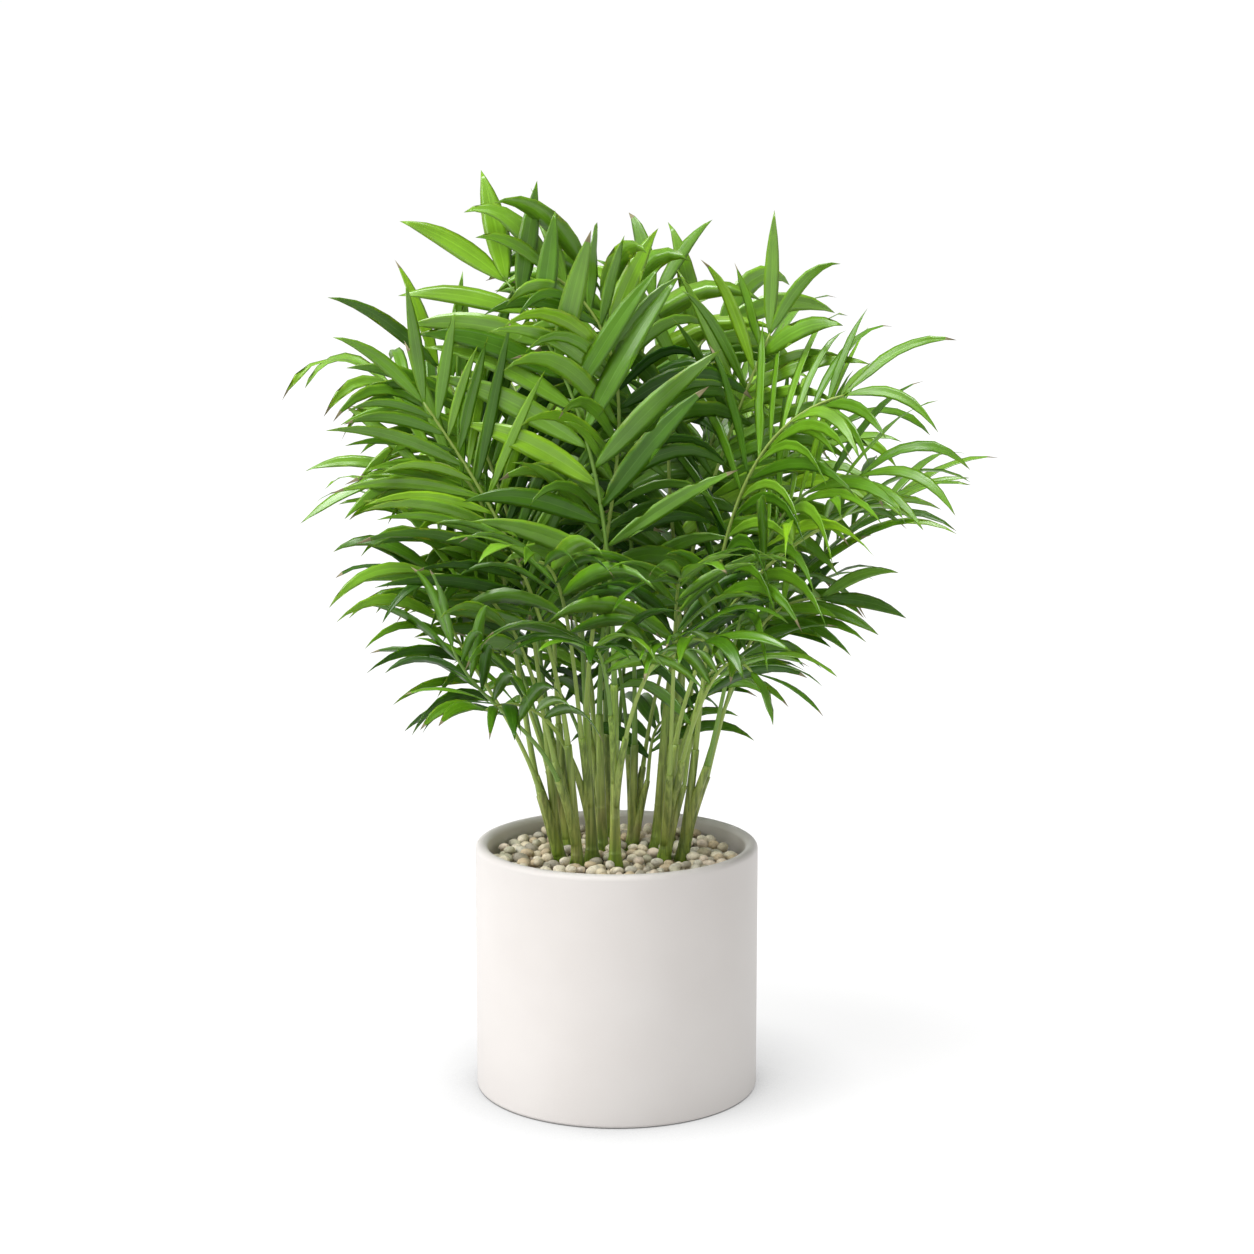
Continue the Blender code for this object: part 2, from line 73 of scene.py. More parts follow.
# Canes: where each one leaves the pebbles and how high it forks into stalks. The clump spreads
# as it rises.
CANES = (
    (-0.040, -0.006, 0.208),
    (-0.027, -0.020, 0.226),
    (-0.017, -0.008, 0.244),
    (-0.010, 0.018, 0.238),
    (-0.001, -0.026, 0.270),
    (0.011, 0.029, 0.214),
    (0.028, 0.024, 0.246),
    (0.033, -0.010, 0.224),
    (0.046, -0.004, 0.218),
    (-0.034, 0.034, 0.228),
    (-0.006, 0.054, 0.216),
    (0.038, 0.045, 0.230),
)
CANE_LEAN = 2.6
CANE_FOOT_RADIUS = 0.0050
CANE_TIP_RADIUS = 0.0036
CANE_FLARE = 1.20
CANE_SIDES = 8
CANE_STATIONS = (0.10, 0.40, 0.70)

# Fronds: stalk and rib
FORKS = (1.0, 0.84, 0.68, 0.52)
STALK_FOOT_RADIUS = 0.0030
STALK_RADIUS = 0.0020
RIB_TIP_RADIUS = 0.0012
STALK_LEANS = math.radians(9)
STALK_PULL = 0.42
TIP_PULL = 0.33
CURVE_EXCESS = 1.03
FACE_INWARD = 0.75
FACE_UP = 0.65
LOOK_ALONG = 0.02
RIB_SEGMENTS = 6
BARE_LENGTH = 0.088
BARE_SHARE = 0.42
RIB_TRIES = 60
TRY_MOVES = 0.0012
TRY_SWINGS = 0.035

# Leaflets
LEAFLET_SPACING = 0.0262
LEAFLET_STAGGER = 0.40
LEAST_ROWS = 3
ROWS_END_BACK = 0.35
TIP_PAIR_BACK = 0.0015
LEAFLET_THICK_SHARE = 0.0125
LEAFLET_ROOT_HALF_WIDTH = 0.0008
LEAFLET_ROOT_THICK = 0.0006
LEAFLET_STATIONS = (0.34, 0.74)
LEAFLET_STEPS = 12
LEAFLET_OUTLINE = (2.95, 0.62, 1.05)
LEAFLET_THICKENS = 4
LEAFLET_THINS = 0.3
UPRIGHT_DROOPS = 0.25
OPEN_ANGLE_FOOT = math.radians(56)
OPEN_ANGLE_TIP = math.radians(40)
FORK_ANGLE = math.radians(17)
LEAFLET_LIFT = 0.14
LEAFLET_RISE = 0.28
DROOP_SETS_IN = 1.7
CLEARANCE = 0.0005
LEAFLET_TRIES = 18
TRY_LIFTS = 0.05
TRY_TURNS = 0.02
TRY_SHORTENS = 0.012

# How leaflets differ: a rise in length to the middle of the rib, then the spread of each measure
LENGTH_ALONG_RIB = (0.70, 0.30, 0.12)
LENGTH_VARIES = (0.86, 1.08)
BREADTH_VARIES = (0.88, 1.12)
DROOP_VARIES = (0.6, 1.3)
ANGLE_VARIES = 0.13
LIFT_VARIES = 0.16
FACE_VARIES = 0.35

# The crown's outline, as the furthest that a leaflet may reach
CROWN_FOOT = 0.232
CROWN_TOP = 0.648
CROWN_WIDEST_AT = 0.465
CROWN_REACH = 0.305
CROWN_FOOT_REACH = 0.150
CROWN_ROUNDS = 0.94

# Fronds that the photograph shows clearly: cane, rib tip, rise of the tip in degrees, roll in
# degrees that turns the frond's face towards the front, longest leaflet, its half width, droop,
# and the number that deals out the small differences between its leaflets
SHOWN_FRONDS = (
    (5, (-0.075, -0.014, 0.569), 50, -72, 0.118, 0.0078, 0.6, 151),
    (3, (-0.044, -0.009, 0.573), 33, -58, 0.113, 0.0067, 1.5, 208),
    (1, (-0.124, 0.012, 0.510), 54, -63, 0.131, 0.0062, 1.0, 240),
    (9, (0.153, -0.049, 0.493), 14, 51, 0.131, 0.0055, 1.7, 149),
    (7, (0.106, 0.005, 0.533), 67, 83, 0.127, 0.0063, 1.2, 220),
    (2, (-0.130, -0.037, 0.488), 56, -80, 0.119, 0.0056, 0.8, 354),
    (1, (-0.146, -0.020, 0.441), -23, -61, 0.109, 0.0055, 0.6, 156),
    (9, (0.162, -0.064, 0.440), 3, 47, 0.143, 0.0054, 1.6, 104),
    (8, (0.151, -0.075, 0.414), 25, -17, 0.130, 0.0054, 1.7, 343),
    (2, (-0.123, -0.051, 0.373), 6, -44, 0.123, 0.0061, 1.3, 107),
    (9, (0.124, -0.044, 0.367), -1, 50, 0.092, 0.0057, 0.8, 62),
    (1, (-0.122, -0.048, 0.367), 71, -57, 0.121, 0.0053, 1.2, 21),
    (8, (0.090, -0.092, 0.312), -34, -8, 0.092, 0.0055, 1.2, 51),
    (2, (-0.111, -0.085, 0.331), 66, 12, 0.101, 0.0053, 1.6, 143),
    (1, (-0.167, 0.023, 0.502), 20, -11, 0.132, 0.0060, 2.2, 318),
    (9, (0.173, 0.044, 0.413), 25, 3, 0.141, 0.0055, 1.2, 54),
    (4, (-0.019, 0.010, 0.575), 35, 15, 0.129, 0.0076, 1.6, 370),
    (7, (0.073, 0.050, 0.537), 34, 72, 0.128, 0.0072, 1.8, 354),
    (8, (0.046, -0.112, 0.384), 4, 8, 0.104, 0.0066, 1.3, 45),
    (3, (-0.052, -0.108, 0.388), 4, -10, 0.104, 0.0066, 1.3, 281),
    (3, (-0.074, -0.092, 0.312), -12, -12, 0.096, 0.0060, 1.3, 83),
    (5, (-0.018, -0.112, 0.330), -10, -6, 0.096, 0.0060, 1.3, 340),
    (5, (0.058, -0.110, 0.336), -10, 12, 0.096, 0.0060, 1.3, 73),
)

# The rest of the crown, tier by tier: rib tip height, reach, rise, longest leaflet, its half
# width, headings
TIERS = (
    (0.548, 0.056, 66, 0.108, 0.0074, (60, 140)),
    (0.508, 0.128, 44, 0.120, 0.0068, (32, 80, 128)),
    (0.462, 0.166, 32, 0.122, 0.0064, (22, 58, 98, 136)),
    (0.404, 0.162, 24, 0.116, 0.0062, (42, 78, 112, 148)),
    (0.338, 0.136, 18, 0.102, 0.0058, (24, 66, 106, 152)),
    (0.292, 0.108, 12, 0.092, 0.0056, (8, 50, 90, 130)),
)
TIER_VARIES = 0.012
TURN_VARIES = 8
REACH_VARIES = (0.92, 1.06)
TIER_DROOP = (1.2, 1.7)
ROLL_VARIES = 20
STEM_SHARE = 0.4
LOAD_COUNTS = 0.016
MOST_FRONDS_ON_A_CANE = len(FORKS)

# Finer leaflets between the solids' ones, on all but the broadest fronds: length and breadth as
# shares of theirs, and where along the rib they end
FINER_SHRINK = (0.84, 0.80)
FINER_END = 0.93
BROAD_LEAF = 0.0069

# A leaflet's blade: stations along it, places across its ribbed face and its back, and the strips
# of that ring that are ribs
BLADE_STATIONS = (0, 0.06, 0.15, 0.27, 0.40, 0.53, 0.66, 0.79, 0.91, 1)
BLADE_FACE = (-1, -0.55, -0.05, 0.05, 0.55, 1)
BLADE_BACK = (0.05, -0.05)
BLADE_RING = len(BLADE_FACE) + len(BLADE_BACK)
RIB_STRIPS = (2, 6)
RIDGE_HEIGHT = 0.00030
FULL_RIDGE_WIDTH = 0.004
BLADE_THICKNESS = 0.00035
BLADE_SLIMNESS = 0.80
BLADE_LEAST_WIDTH = 0.0007
WIDEST_AT = 0.40
FOLD = (-0.02, 0.30)
TWIST = 0.45
RIPPLE = 0.0008
BLADES_IN_A_PIECE = 170

# Stalks, the sheaths that clasp the canes below them, and the canes with a rim where each old
# sheath ended: rise above the rim and width there
STALK_SIDES = 8
STALK_STEPS = 30
STALK_SLIMS = (0.88, 0.12)
SHEATH_SIDES = 12
SHEATH_STEPS = 10
SHEATH_DROP = 0.030
SHEATH_RISE = 0.020
CANE_RING_SIDES = 20
CANE_SLIMS = 0.24
SLIM_FROM = 0.30
NODE_SPACING = 0.026
SHEATH_RIM = ((-0.0012, 0.995), (0, 1.025), (0.0006, 1.020), (0.0009, 0.965), (0.0040, 0.980))

# Colours, and the deals that share them out
PEBBLES = {
    "cream": (0.88, 0.80, 0.62),
    "beige": (0.76, 0.67, 0.48),
    "grey": (0.66, 0.62, 0.50),
    "sage": (0.58, 0.55, 0.40),
    "rose": (0.80, 0.68, 0.54),
    "tan": (0.64, 0.52, 0.34),
    "slate": (0.44, 0.40, 0.31),
}
PEBBLE_DEAL = "cream beige grey sage rose tan cream beige slate grey".split()

GREENS = {
    "young": (0.220, 0.440, 0.012),
    "fresh": (0.165, 0.355, 0.008),
    "light": (0.150, 0.330, 0.014),
    "middle": (0.115, 0.275, 0.008),
    "full": (0.084, 0.218, 0.005),
    "deep": (0.050, 0.145, 0.003),
    "shaded": (0.026, 0.090, 0.002),
    "black": (0.010, 0.048, 0.001),
}
# Painted shade and light: leaflets deep in the crown and low down get darker greens, where shade
# falls, and those on the crown's outside get lighter ones
OUTER_LIT_DEAL = "light middle full middle deep light middle full fresh light middle young".split()
LOW_SHADE_DEAL = "middle full deep shaded full middle deep full light deep shaded".split()
INNER_SHADE_DEAL = "full deep shaded deep shaded full deep shaded black deep".split()
SHADE_CORE_REACH = 0.085
SHADE_CORE_FRONT = -0.026
SHADE_CORE_TOP = 0.53
SHADE_LOW_TOP = 0.40
YOUNG_SPOT = Vector((-0.057, -0.032, 0.459))
YOUNG_REACH = 0.012
CANE_GREENS = (
    (0.0, (0.200, 0.340, 0.016)),
    (0.22, (0.360, 0.400, 0.090)),
    (0.60, (0.320, 0.410, 0.090)),
    (1.0, (0.290, 0.450, 0.060)),
)
# Dark streak green: partly the canes' own streaks, partly painted shade for their shaded sides
CANE_STREAK_AND_SHADE = (0.050, 0.092, 0.006)
CANE_FLUSH = (0.340, 0.240, 0.120)
CANE_TINTS = (0.88, 1.0, 1.16)
BRIGHT_CANE = 5
STALKS = {"pale": (0.300, 0.420, 0.080), "green": (0.170, 0.310, 0.045)}
STALK_DEAL = (0, 0, 1)
TIP_BROWN = (0.230, 0.200, 0.100)
BROWN_DEAL = (False, False, False, True)
RIB_GAIN = 1.12
RIB_PALE = (0.014, 0.022, 0.006)

# Studio: the sky from left to right and where its white horizon ends, the lamps as name, the way
# that their light goes, power and size in degrees, and the floor's own glow, with a painted contact
# shadow that dims it close to the pot's foot
SIDES = ((0.10, 0.62), (0.55, 0.20), (0.82, 0.22), (1.0, 0.75))
HORIZON = ((0.15, 1.0), (0.24, 0.0))
SKY_LEVEL = 1.02
LAMPS = (
    ("left_light", (1.0, 0.30, -0.80), 1.55, 35),
    ("top_light", (0.20, 0.25, -1.0), 3.3, 30),
)
FLOOR_SIZE = 60
FLOOR_DROP = 0.0002
FLOOR_PALE = 0.16
FLOOR_GLOW = 0.86
PAINTED_SHADOW_REACH = 0.09
PAINTED_CONTACT_SHADOW = ((0.15, 0.02), (0.46, 0.60), (0.60, 0.74), (0.80, 0.88), (1.0, 1.0))
CAMERA_PLACE = (0, -1.6153, 0.5714)
CAMERA_DOWN = 8.533
CAMERA_ASIDE = -0.262
LENS = 67.08

# Seeds of the random draws
SEEDS = {
    "canes": 11, "fronds": 5, "ribs": 100, "stones": 21,
    "bed": 8, "pebble colours": 4, "sheath rims": 29, "blades": 17,
}

AT_FOOT = 0.001
SAME = 1e-5
UP = Vector((0, 0, 1))


def heading(degrees):
    """The level direction at this many degrees round from +X."""
    return Vector((math.cos(math.radians(degrees)), math.sin(math.radians(degrees)), 0))


def across(direction, line):
    """direction with its share along line taken out, as a unit vector."""
    return (direction - line * direction.dot(line)).normalized()


class Cane:
    """A slim upright stem, from the pebbles to its fork."""

    def __init__(self, number, foot, rng):
        self.name = f"cane_{number:02d}"
        self.foot = Vector((foot[0], foot[1], PEBBLE_TOP + GAP))
        spread = 1 + CANE_LEAN * (foot[2] - PEBBLE_TOP)
        self.tip = Vector((foot[0] * spread, foot[1] * spread, foot[2]))
        self.line = (self.tip - self.foot).normalized()
        self.foot_radius = CANE_FOOT_RADIUS * rng.uniform(0.9, 1.1)
        self.loads = 0

    def point(self, t):
        return self.foot.lerp(self.tip, t)

    def radius(self, t):
        straight = self.foot_radius + (CANE_TIP_RADIUS - self.foot_radius) * t
        flare = 1 + (CANE_FLARE - 1) * max(0.0, 1 - t / CANE_STATIONS[0])
        return straight * flare

    def place(self, x, y, t):
        """A point of the skin. The foot is cut level and the tip square to the cane."""
        if t < AT_FOOT:
            return self.foot + Vector((x, y, 0)) * self.radius(0)
        side = across(Vector((1, 0, 0)), self.line)
        return self.point(t) + (side * x + self.line.cross(side) * y) * self.radius(t)


class Leaflet:
    """A long pointed blade that leaves the rib at root and arches over under its own weight."""

    def __init__(self, root, direction, normal, length, breadth, droop):
        self.direction = direction.normalized()
        self.normal = across(normal, self.direction)
        self.length, self.breadth, self.full_droop = length, breadth, droop
        level = self.direction.to_2d().length
        self.droop = droop * (UPRIGHT_DROOPS + (1 - UPRIGHT_DROOPS) * level)
        self.line = [root]
        for step in range(LEAFLET_STEPS):
            along = self.heading_at((step + 0.5) / LEAFLET_STEPS)
            self.line.append(self.line[-1] + along * (length / LEAFLET_STEPS))

    def smaller(self, length, breadth):
        """The same leaflet with these shares of its length and breadth."""
        root = self.line[0]
        size = self.length * length, self.breadth * breadth
        return Leaflet(root, self.direction, self.normal, *size, self.full_droop)

    def heading_at(self, t):
        return (self.direction - UP * self.droop * t**DROOP_SETS_IN).normalized()

    def point(self, t):
        step = min(int(t * LEAFLET_STEPS), LEAFLET_STEPS - 1)
        return self.line[step].lerp(self.line[step + 1], t * LEAFLET_STEPS - step)

    def half_width(self, t):
        full, swell, taper = LEAFLET_OUTLINE
        lens = full * t**swell * (1 - t) ** taper * self.breadth
        return max(lens, LEAFLET_ROOT_HALF_WIDTH * (1 - t))

    def thickness(self, t):
        full = LEAFLET_THICK_SHARE * self.length
        root = LEAFLET_ROOT_THICK + full * LEAFLET_THICKENS * t
        return min(full, root) * (1 - LEAFLET_THINS * t)

    def place(self, x, y, t, margin=0.0):
        """A point of the blade: x runs from edge to edge and y from the flat underside to the
        ridge, each from -1 to 1."""
        along = self.heading_at(t)
        upward = across(self.normal, along)
        side = upward.cross(along)
        out = x * (self.half_width(t) + margin)
        lift = max(y, 0) * self.thickness(t) + y * margin
        return self.point(t) + side * out + upward * lift


class Frond:
    """A stalk and rib along one curve, with its leaflets."""

    def __init__(self, cane, tip, rise, roll, leaf_length, leaf_breadth, droop, deal, swing=0.0):
        self.cane, self.tip, self.roll = cane, tip, math.radians(roll)
        self.leaf_length, self.leaf_breadth, self.droop = leaf_length, leaf_breadth, droop
        self.deal, self.leaflets = deal, []
        self.fork = fork = FORKS[cane.loads]
        reach = tip - cane.point(fork)
        out = Matrix.Rotation(swing, 3, "Z") @ across(reach, UP)
        out = across(out, cane.line)
        if cane.loads == 0:
            start = cane.tip + cane.line * GAP
            leave = cane.line
        else:
            beside = cane.radius(fork) + STALK_FOOT_RADIUS + GAP
            start = cane.point(fork) + out * beside
            leave = cane.line * math.cos(STALK_LEANS) + out * math.sin(STALK_LEANS)
        level = across(reach, UP)
        arrive = level * math.cos(math.radians(rise)) + UP * math.sin(math.radians(rise))
        span = (tip - start).length
        after_start = start + leave * span * STALK_PULL
        before_tip = tip - arrive * span * TIP_PULL
        self.knots = (start, after_start, before_tip, tip)
        self.inward = -level
        self.out = out
        self.length = span * CURVE_EXCESS
        self.bare = min(BARE_LENGTH, self.length * BARE_SHARE) / self.length
        stations = [i / RIB_SEGMENTS for i in range(RIB_SEGMENTS + 1)]
        self.line = [self.curve(t) for t in stations]

    def curve(self, t):
        a, b, c, d = self.knots
        s = 1 - t
        return a * s**3 + b * 3 * s * s * t + c * 3 * s * t * t + d * t**3

    def point(self, t):
        step = min(int(t * RIB_SEGMENTS), RIB_SEGMENTS - 1)
        return self.line[step].lerp(self.line[step + 1], t * RIB_SEGMENTS - step)

    def radius(self, t):
        foot = (STALK_FOOT_RADIUS - STALK_RADIUS) * max(0.0, 1 - t * RIB_SEGMENTS)
        return STALK_RADIUS + foot + (RIB_TIP_RADIUS - STALK_RADIUS) * t

    def frame(self, t):
        """The rib's heading, the way that its upper face looks, and its side."""
        ahead = self.curve(min(t + LOOK_ALONG, 1.0))
        along = (ahead - self.curve(t - LOOK_ALONG)).normalized()
        face = across(self.inward * FACE_INWARD + UP * FACE_UP, along)
        rolled = self.roll * min(1.0, t / self.bare)
        face = Matrix.Rotation(rolled, 3, along) @ face
        return along, face, face.cross(along)

    def place(self, x, y, t, margin=0.0):
        """A point of the skin. A stalk at a cane's side turns its foot to that side."""
        along, face, side = self.frame(t)
        if t < AT_FOOT and self.cane.loads:
            face = across(-self.out, along)
            side = face.cross(along)
        return self.point(t) + (side * x + face * y) * (self.radius(t) + margin)

    def places(self, finer):
        """Place along the rib, side and opening angle of the solids' leaflets, tip pair first, or
        of the finer ones halfway between them, which the broadest fronds do without."""
        if not finer:
            for side in (-1, 1):
                yield 1 - TIP_PAIR_BACK / self.length, side, FORK_ANGLE
        elif self.leaf_breadth > BROAD_LEAF:
            return
        back, end = (0, FINER_END) if finer else (0.5, 1)
        leafy = self.length * (1 - self.bare)
        rows = max(LEAST_ROWS, round(leafy / LEAFLET_SPACING) - 1)
        for row in range(rows, 0, -1):
            for side in (-1, 1):
                share = (row - back - side * LEAFLET_STAGGER / 2) / (rows + ROWS_END_BACK)
                angle = OPEN_ANGLE_FOOT + (OPEN_ANGLE_TIP - OPEN_ANGLE_FOOT) * share
                if share < end:
                    yield self.bare + (1 - self.bare) * share, side, angle

    def leaflet(self, t, side, angle, tries):
        """The leaflet for one place on the rib. Each further try lifts or lowers it more, turns
        it a little and shortens it."""
        rng = random.Random(f"{self.deal} {t:.3f} {side}")
        nudge = (tries + 1) // 2 * (1 if tries % 2 else -1)
        along, face, flank = self.frame(t)
        share = (t - self.bare) / (1 - self.bare)
        least, more, shift = LENGTH_ALONG_RIB
        length = self.leaf_length * (least + more * math.sin(math.pi * min(1, share + shift)))
        length *= rng.uniform(*LENGTH_VARIES) * (1 - TRY_SHORTENS * tries)
        angle += rng.uniform(-ANGLE_VARIES, ANGLE_VARIES) - TRY_TURNS * nudge
        lift = LEAFLET_LIFT + rng.uniform(-LIFT_VARIES, LIFT_VARIES) + TRY_LIFTS * nudge
        direction = along * math.cos(angle) + flank * side * math.sin(angle) + face * lift
        direction += UP * LEAFLET_RISE * along.to_2d().length
        normal = face + flank * rng.uniform(-FACE_VARIES, FACE_VARIES)
        droop = self.droop * rng.uniform(*DROOP_VARIES)
        breadth = self.leaf_breadth * rng.uniform(*BREADTH_VARIES)
        return Leaflet(self.point(t), direction, normal, length, breadth, droop)


def cylinder_faces(sides, stations, pointed):
    """Corner places (x, y, t) and faces of a closed prism or spike along t from 0 to 1, made
    from a cone primitive that is cut at the stations."""
    bm = bmesh.new()
    bmesh.ops.create_cone(
        bm, cap_ends=True, segments=sides, radius1=1, radius2=0 if pointed else 1, depth=1
    )
    for cut in stations:
        whole = bm.verts[:] + bm.edges[:] + bm.faces[:]
        bmesh.ops.bisect_plane(bm, geom=whole, plane_co=(0, 0, cut - 0.5), plane_no=(0, 0, 1))
    bm.verts.ensure_lookup_table()
    places = []
    for vert in bm.verts:
        t = vert.co.z + 0.5
        flat = vert.co.to_2d()
        x, y = flat.normalized() if flat.length > 1e-6 else (0.0, 0.0)
        places.append((x, y, t))
    faces = [[v.index for v in face.verts] for face in bm.faces]
    bm.free()
    return places, faces


CANE_BLANK = cylinder_faces(CANE_SIDES, CANE_STATIONS, False)
RIB_BLANK = cylinder_faces(4, [i / RIB_SEGMENTS for i in range(1, RIB_SEGMENTS)], False)
LEAFLET_BLANK = cylinder_faces(3, LEAFLET_STATIONS, True)


def shape_of(blank, limb, **margin):
    places, faces = blank
    return [limb.place(x, y, t, **margin) for x, y, t in places], faces


class Obstacle:
    """A shape with its box, so that most pairs need no closer test."""

    def __init__(self, points, faces):
        self.tree = BVHTree.FromPolygons(points, faces)
        self.low = Vector(map(min, *points))
        self.high = Vector(map(max, *points))

    def meets(self, other):
        if any(self.low[i] > other.high[i] or other.low[i] > self.high[i] for i in range(3)):
            return False
        return bool(self.tree.overlap(other.tree))


def in_crown(point):
    """Whether a point lies in the crown's outline: a bowl below its widest level, a dome above."""
    if not CROWN_FOOT < point.z < CROWN_TOP:
        return False
    if point.z > CROWN_WIDEST_AT:
        rise = (point.z - CROWN_WIDEST_AT) / (CROWN_TOP - CROWN_WIDEST_AT)
        reach = CROWN_REACH * math.sqrt(1 - CROWN_ROUNDS * rise**2)
    else:
        fall = (CROWN_WIDEST_AT - point.z) / (CROWN_WIDEST_AT - CROWN_FOOT)
        reach = CROWN_REACH + (CROWN_FOOT_REACH - CROWN_REACH) * fall
    return point.to_2d().length < reach


def plan_canes():
    rng = random.Random(SEEDS["canes"])
    return {number: Cane(number, foot, rng) for number, foot in enumerate(CANES, 1)}


def frond_wishes(canes):
    """Cane, rib tip and manner of growth of every frond, the shown ones first."""
    rng = random.Random(SEEDS["fronds"])
    for number, tip, *manner in SHOWN_FRONDS:
        yield canes[number], Vector(tip), *manner
    for height, reach, rise, length, breadth, headings in TIERS:
        for degrees in headings:
            out = heading(degrees + rng.uniform(-TURN_VARIES, TURN_VARIES))
            out = out * reach * rng.uniform(*REACH_VARIES)
            tip = out + UP * (height + rng.uniform(-TIER_VARIES, TIER_VARIES))
            free = [c for c in canes.values() if c.loads < MOST_FRONDS_ON_A_CANE]
            near = tip * STEM_SHARE
            cane = min(free, key=lambda c: (c.tip - near).to_2d().length + LOAD_COUNTS * c.loads)
            roll = rng.uniform(-ROLL_VARIES, ROLL_VARIES)
            droop, deal = rng.uniform(*TIER_DROOP), rng.random()
            yield cane, tip, rise, roll, length, breadth, droop, deal


def plan_fronds(canes):
    """Every frond, its rib clear of all canes and other ribs, then its leaflets clear of all.
    Only the two leaflets of the forked tip may meet, where they leave the rib."""
    cane_shapes = {c.name: Obstacle(*shape_of(CANE_BLANK, c)) for c in canes.values()}
    fronds, ribs = [], []
    for number, wish in enumerate(frond_wishes(canes)):
        frond, rib = clear_rib(number, wish, cane_shapes, ribs)
        frond.name = f"frond_{number + 1:02d}"
        fronds.append(frond)
        ribs.append(rib)
        wish[0].loads += 1
    blades = []
    for finer in (False, True):
        for number, frond in enumerate(fronds):
            others = [*cane_shapes.values(), *ribs[:number], *ribs[number + 1 :], *blades]
            own = []
            for place in frond.places(finer):
                beside = own if finer or len(own) > 1 else []
                found = clear_leaflet(frond, place, others + beside, finer)
                if found:
                    frond.leaflets.append(found[0])
                    own.append(found[1])
            blades += own
    return fronds


def clear_rib(number, wish, cane_shapes, ribs):
    """The first of a few swings and small moves of the tip that leaves the rib clear."""
    cane, tip, *manner = wish
    rng = random.Random(SEEDS["ribs"] + number)
    for tries in range(RIB_TRIES):
        moved = tip + Vector([rng.uniform(-1, 1) * TRY_MOVES * tries for _ in range(3)])
        swing = rng.uniform(-1, 1) * TRY_SWINGS * tries
        frond = Frond(cane, moved, *manner, swing)
        bare = Obstacle(*shape_of(RIB_BLANK, frond))
        wide = Obstacle(*shape_of(RIB_BLANK, frond, margin=CLEARANCE))
        others = [shape for name, shape in cane_shapes.items() if name != cane.name]
        if bare.meets(cane_shapes[cane.name]) or any(map(wide.meets, others + ribs)):
            continue
        return frond, bare
    raise ValueError(f"no clear way for frond {number + 1} on {cane.name}")


def clear_leaflet(frond, place, others, finer):
    """The first of a few turns of one leaflet that touches nothing, with its shape, or None."""
    for tries in range(LEAFLET_TRIES):
        leaflet = frond.leaflet(*place, tries)
        if finer:
            leaflet = leaflet.smaller(*FINER_SHRINK)
        if not in_crown(leaflet.point(1)):
            continue
        wide = Obstacle(*shape_of(LEAFLET_BLANK, leaflet, margin=CLEARANCE))
        if not any(map(wide.meets, others)):
            return leaflet, Obstacle(*shape_of(LEAFLET_BLANK, leaflet))
    return None


class Wire:
    """A shader socket that takes part in Python arithmetic."""

    def __init__(self, nodes, socket):
        self.nodes, self.socket = nodes, socket

    def maths(self, operation, first, second):
        return self.nodes.node("ShaderNodeMath", {"operation": operation}, {0: first, 1: second})

    def __add__(self, other):
        return self.maths("ADD", self, other)

    def __radd__(self, other):
        return self.maths("ADD", other, self)

    def __sub__(self, other):
        return self.maths("SUBTRACT", self, other)

    def __rsub__(self, other):
        return self.maths("SUBTRACT", other, self)

    def __mul__(self, other):
        return self.maths("MULTIPLY", self, other)

    def __rmul__(self, other):
        return self.maths("MULTIPLY", other, self)


class Nodes:
    """Adds nodes to one node tree."""

    def __init__(self, tree):
        self.tree = tree

    def node(self, kind, settings, values, output=0):
        """A node of this kind: its settings first, then the value or link of each socket."""
        made = self.tree.nodes.new(kind)
        for setting, value in settings.items():
            if setting == "stops":
                self.set_stops(made.color_ramp, value)
            else:
                setattr(made, setting, value)
        for socket, value in values.items():
            if isinstance(value, Wire):
                self.tree.links.new(value.socket, made.inputs[socket])
            else:
                made.inputs[socket].default_value = value
        return Wire(self, made.outputs[output])

    def set_stops(self, ramp, stops):
        """Gives a ramp these stops, each a place and a colour."""
        while len(ramp.elements) < len(stops):
            ramp.elements.new(0.5)
        for element, (place, colour) in zip(ramp.elements, stops):
            element.position = place
            element.color = (*colour, 1)

    def ramp(self, factor, *stops):
        return self.node("ShaderNodeValToRGB", {"stops": stops}, {"Fac": factor}, "Color")

    def blend(self, factor, first, second):
        a, b = (c if isinstance(c, Wire) else (*c, 1) for c in (first, second))
        values = {0: factor, 6: a, 7: b}
        return self.node("ShaderNodeMix", {"data_type": "RGBA"}, values, "Result")


class Finish(Nodes):
    """One material, built up from its Principled shader."""

    def __init__(self, name, **constants):
        self.material = bpy.data.materials.new(name)
        self.material.use_nodes = True
        super().__init__(self.material.node_tree)
        self.surface = self.tree.nodes["Principled BSDF"]
        for socket, value in constants.items():
            self.surface.inputs[socket.replace("_", " ")].default_value = value

    def place(self, scale=(1, 1, 1)):
        """The object's own coordinates, stretched by scale."""
        coordinates = self.node("ShaderNodeTexCoord", {}, {}, "Object")
        return self.node("ShaderNodeMapping", {}, {"Vector": coordinates, "Scale": scale})

    def noise(self, where, scale, detail=4.0, roughness=0.55):
        values = {"Vector": where, "Scale": scale, "Detail": detail, "Roughness": roughness}
        return self.node("ShaderNodeTexNoise", {}, values, "Fac")

    def feed(self, socket, wire):
        self.tree.links.new(wire.socket, self.surface.inputs[socket])

    def relief(self, height, distance, strength=1.0):
        values = {"Height": height, "Distance": distance, "Strength": strength}
        self.feed("Normal", self.node("ShaderNodeBump", {}, values, "Normal"))


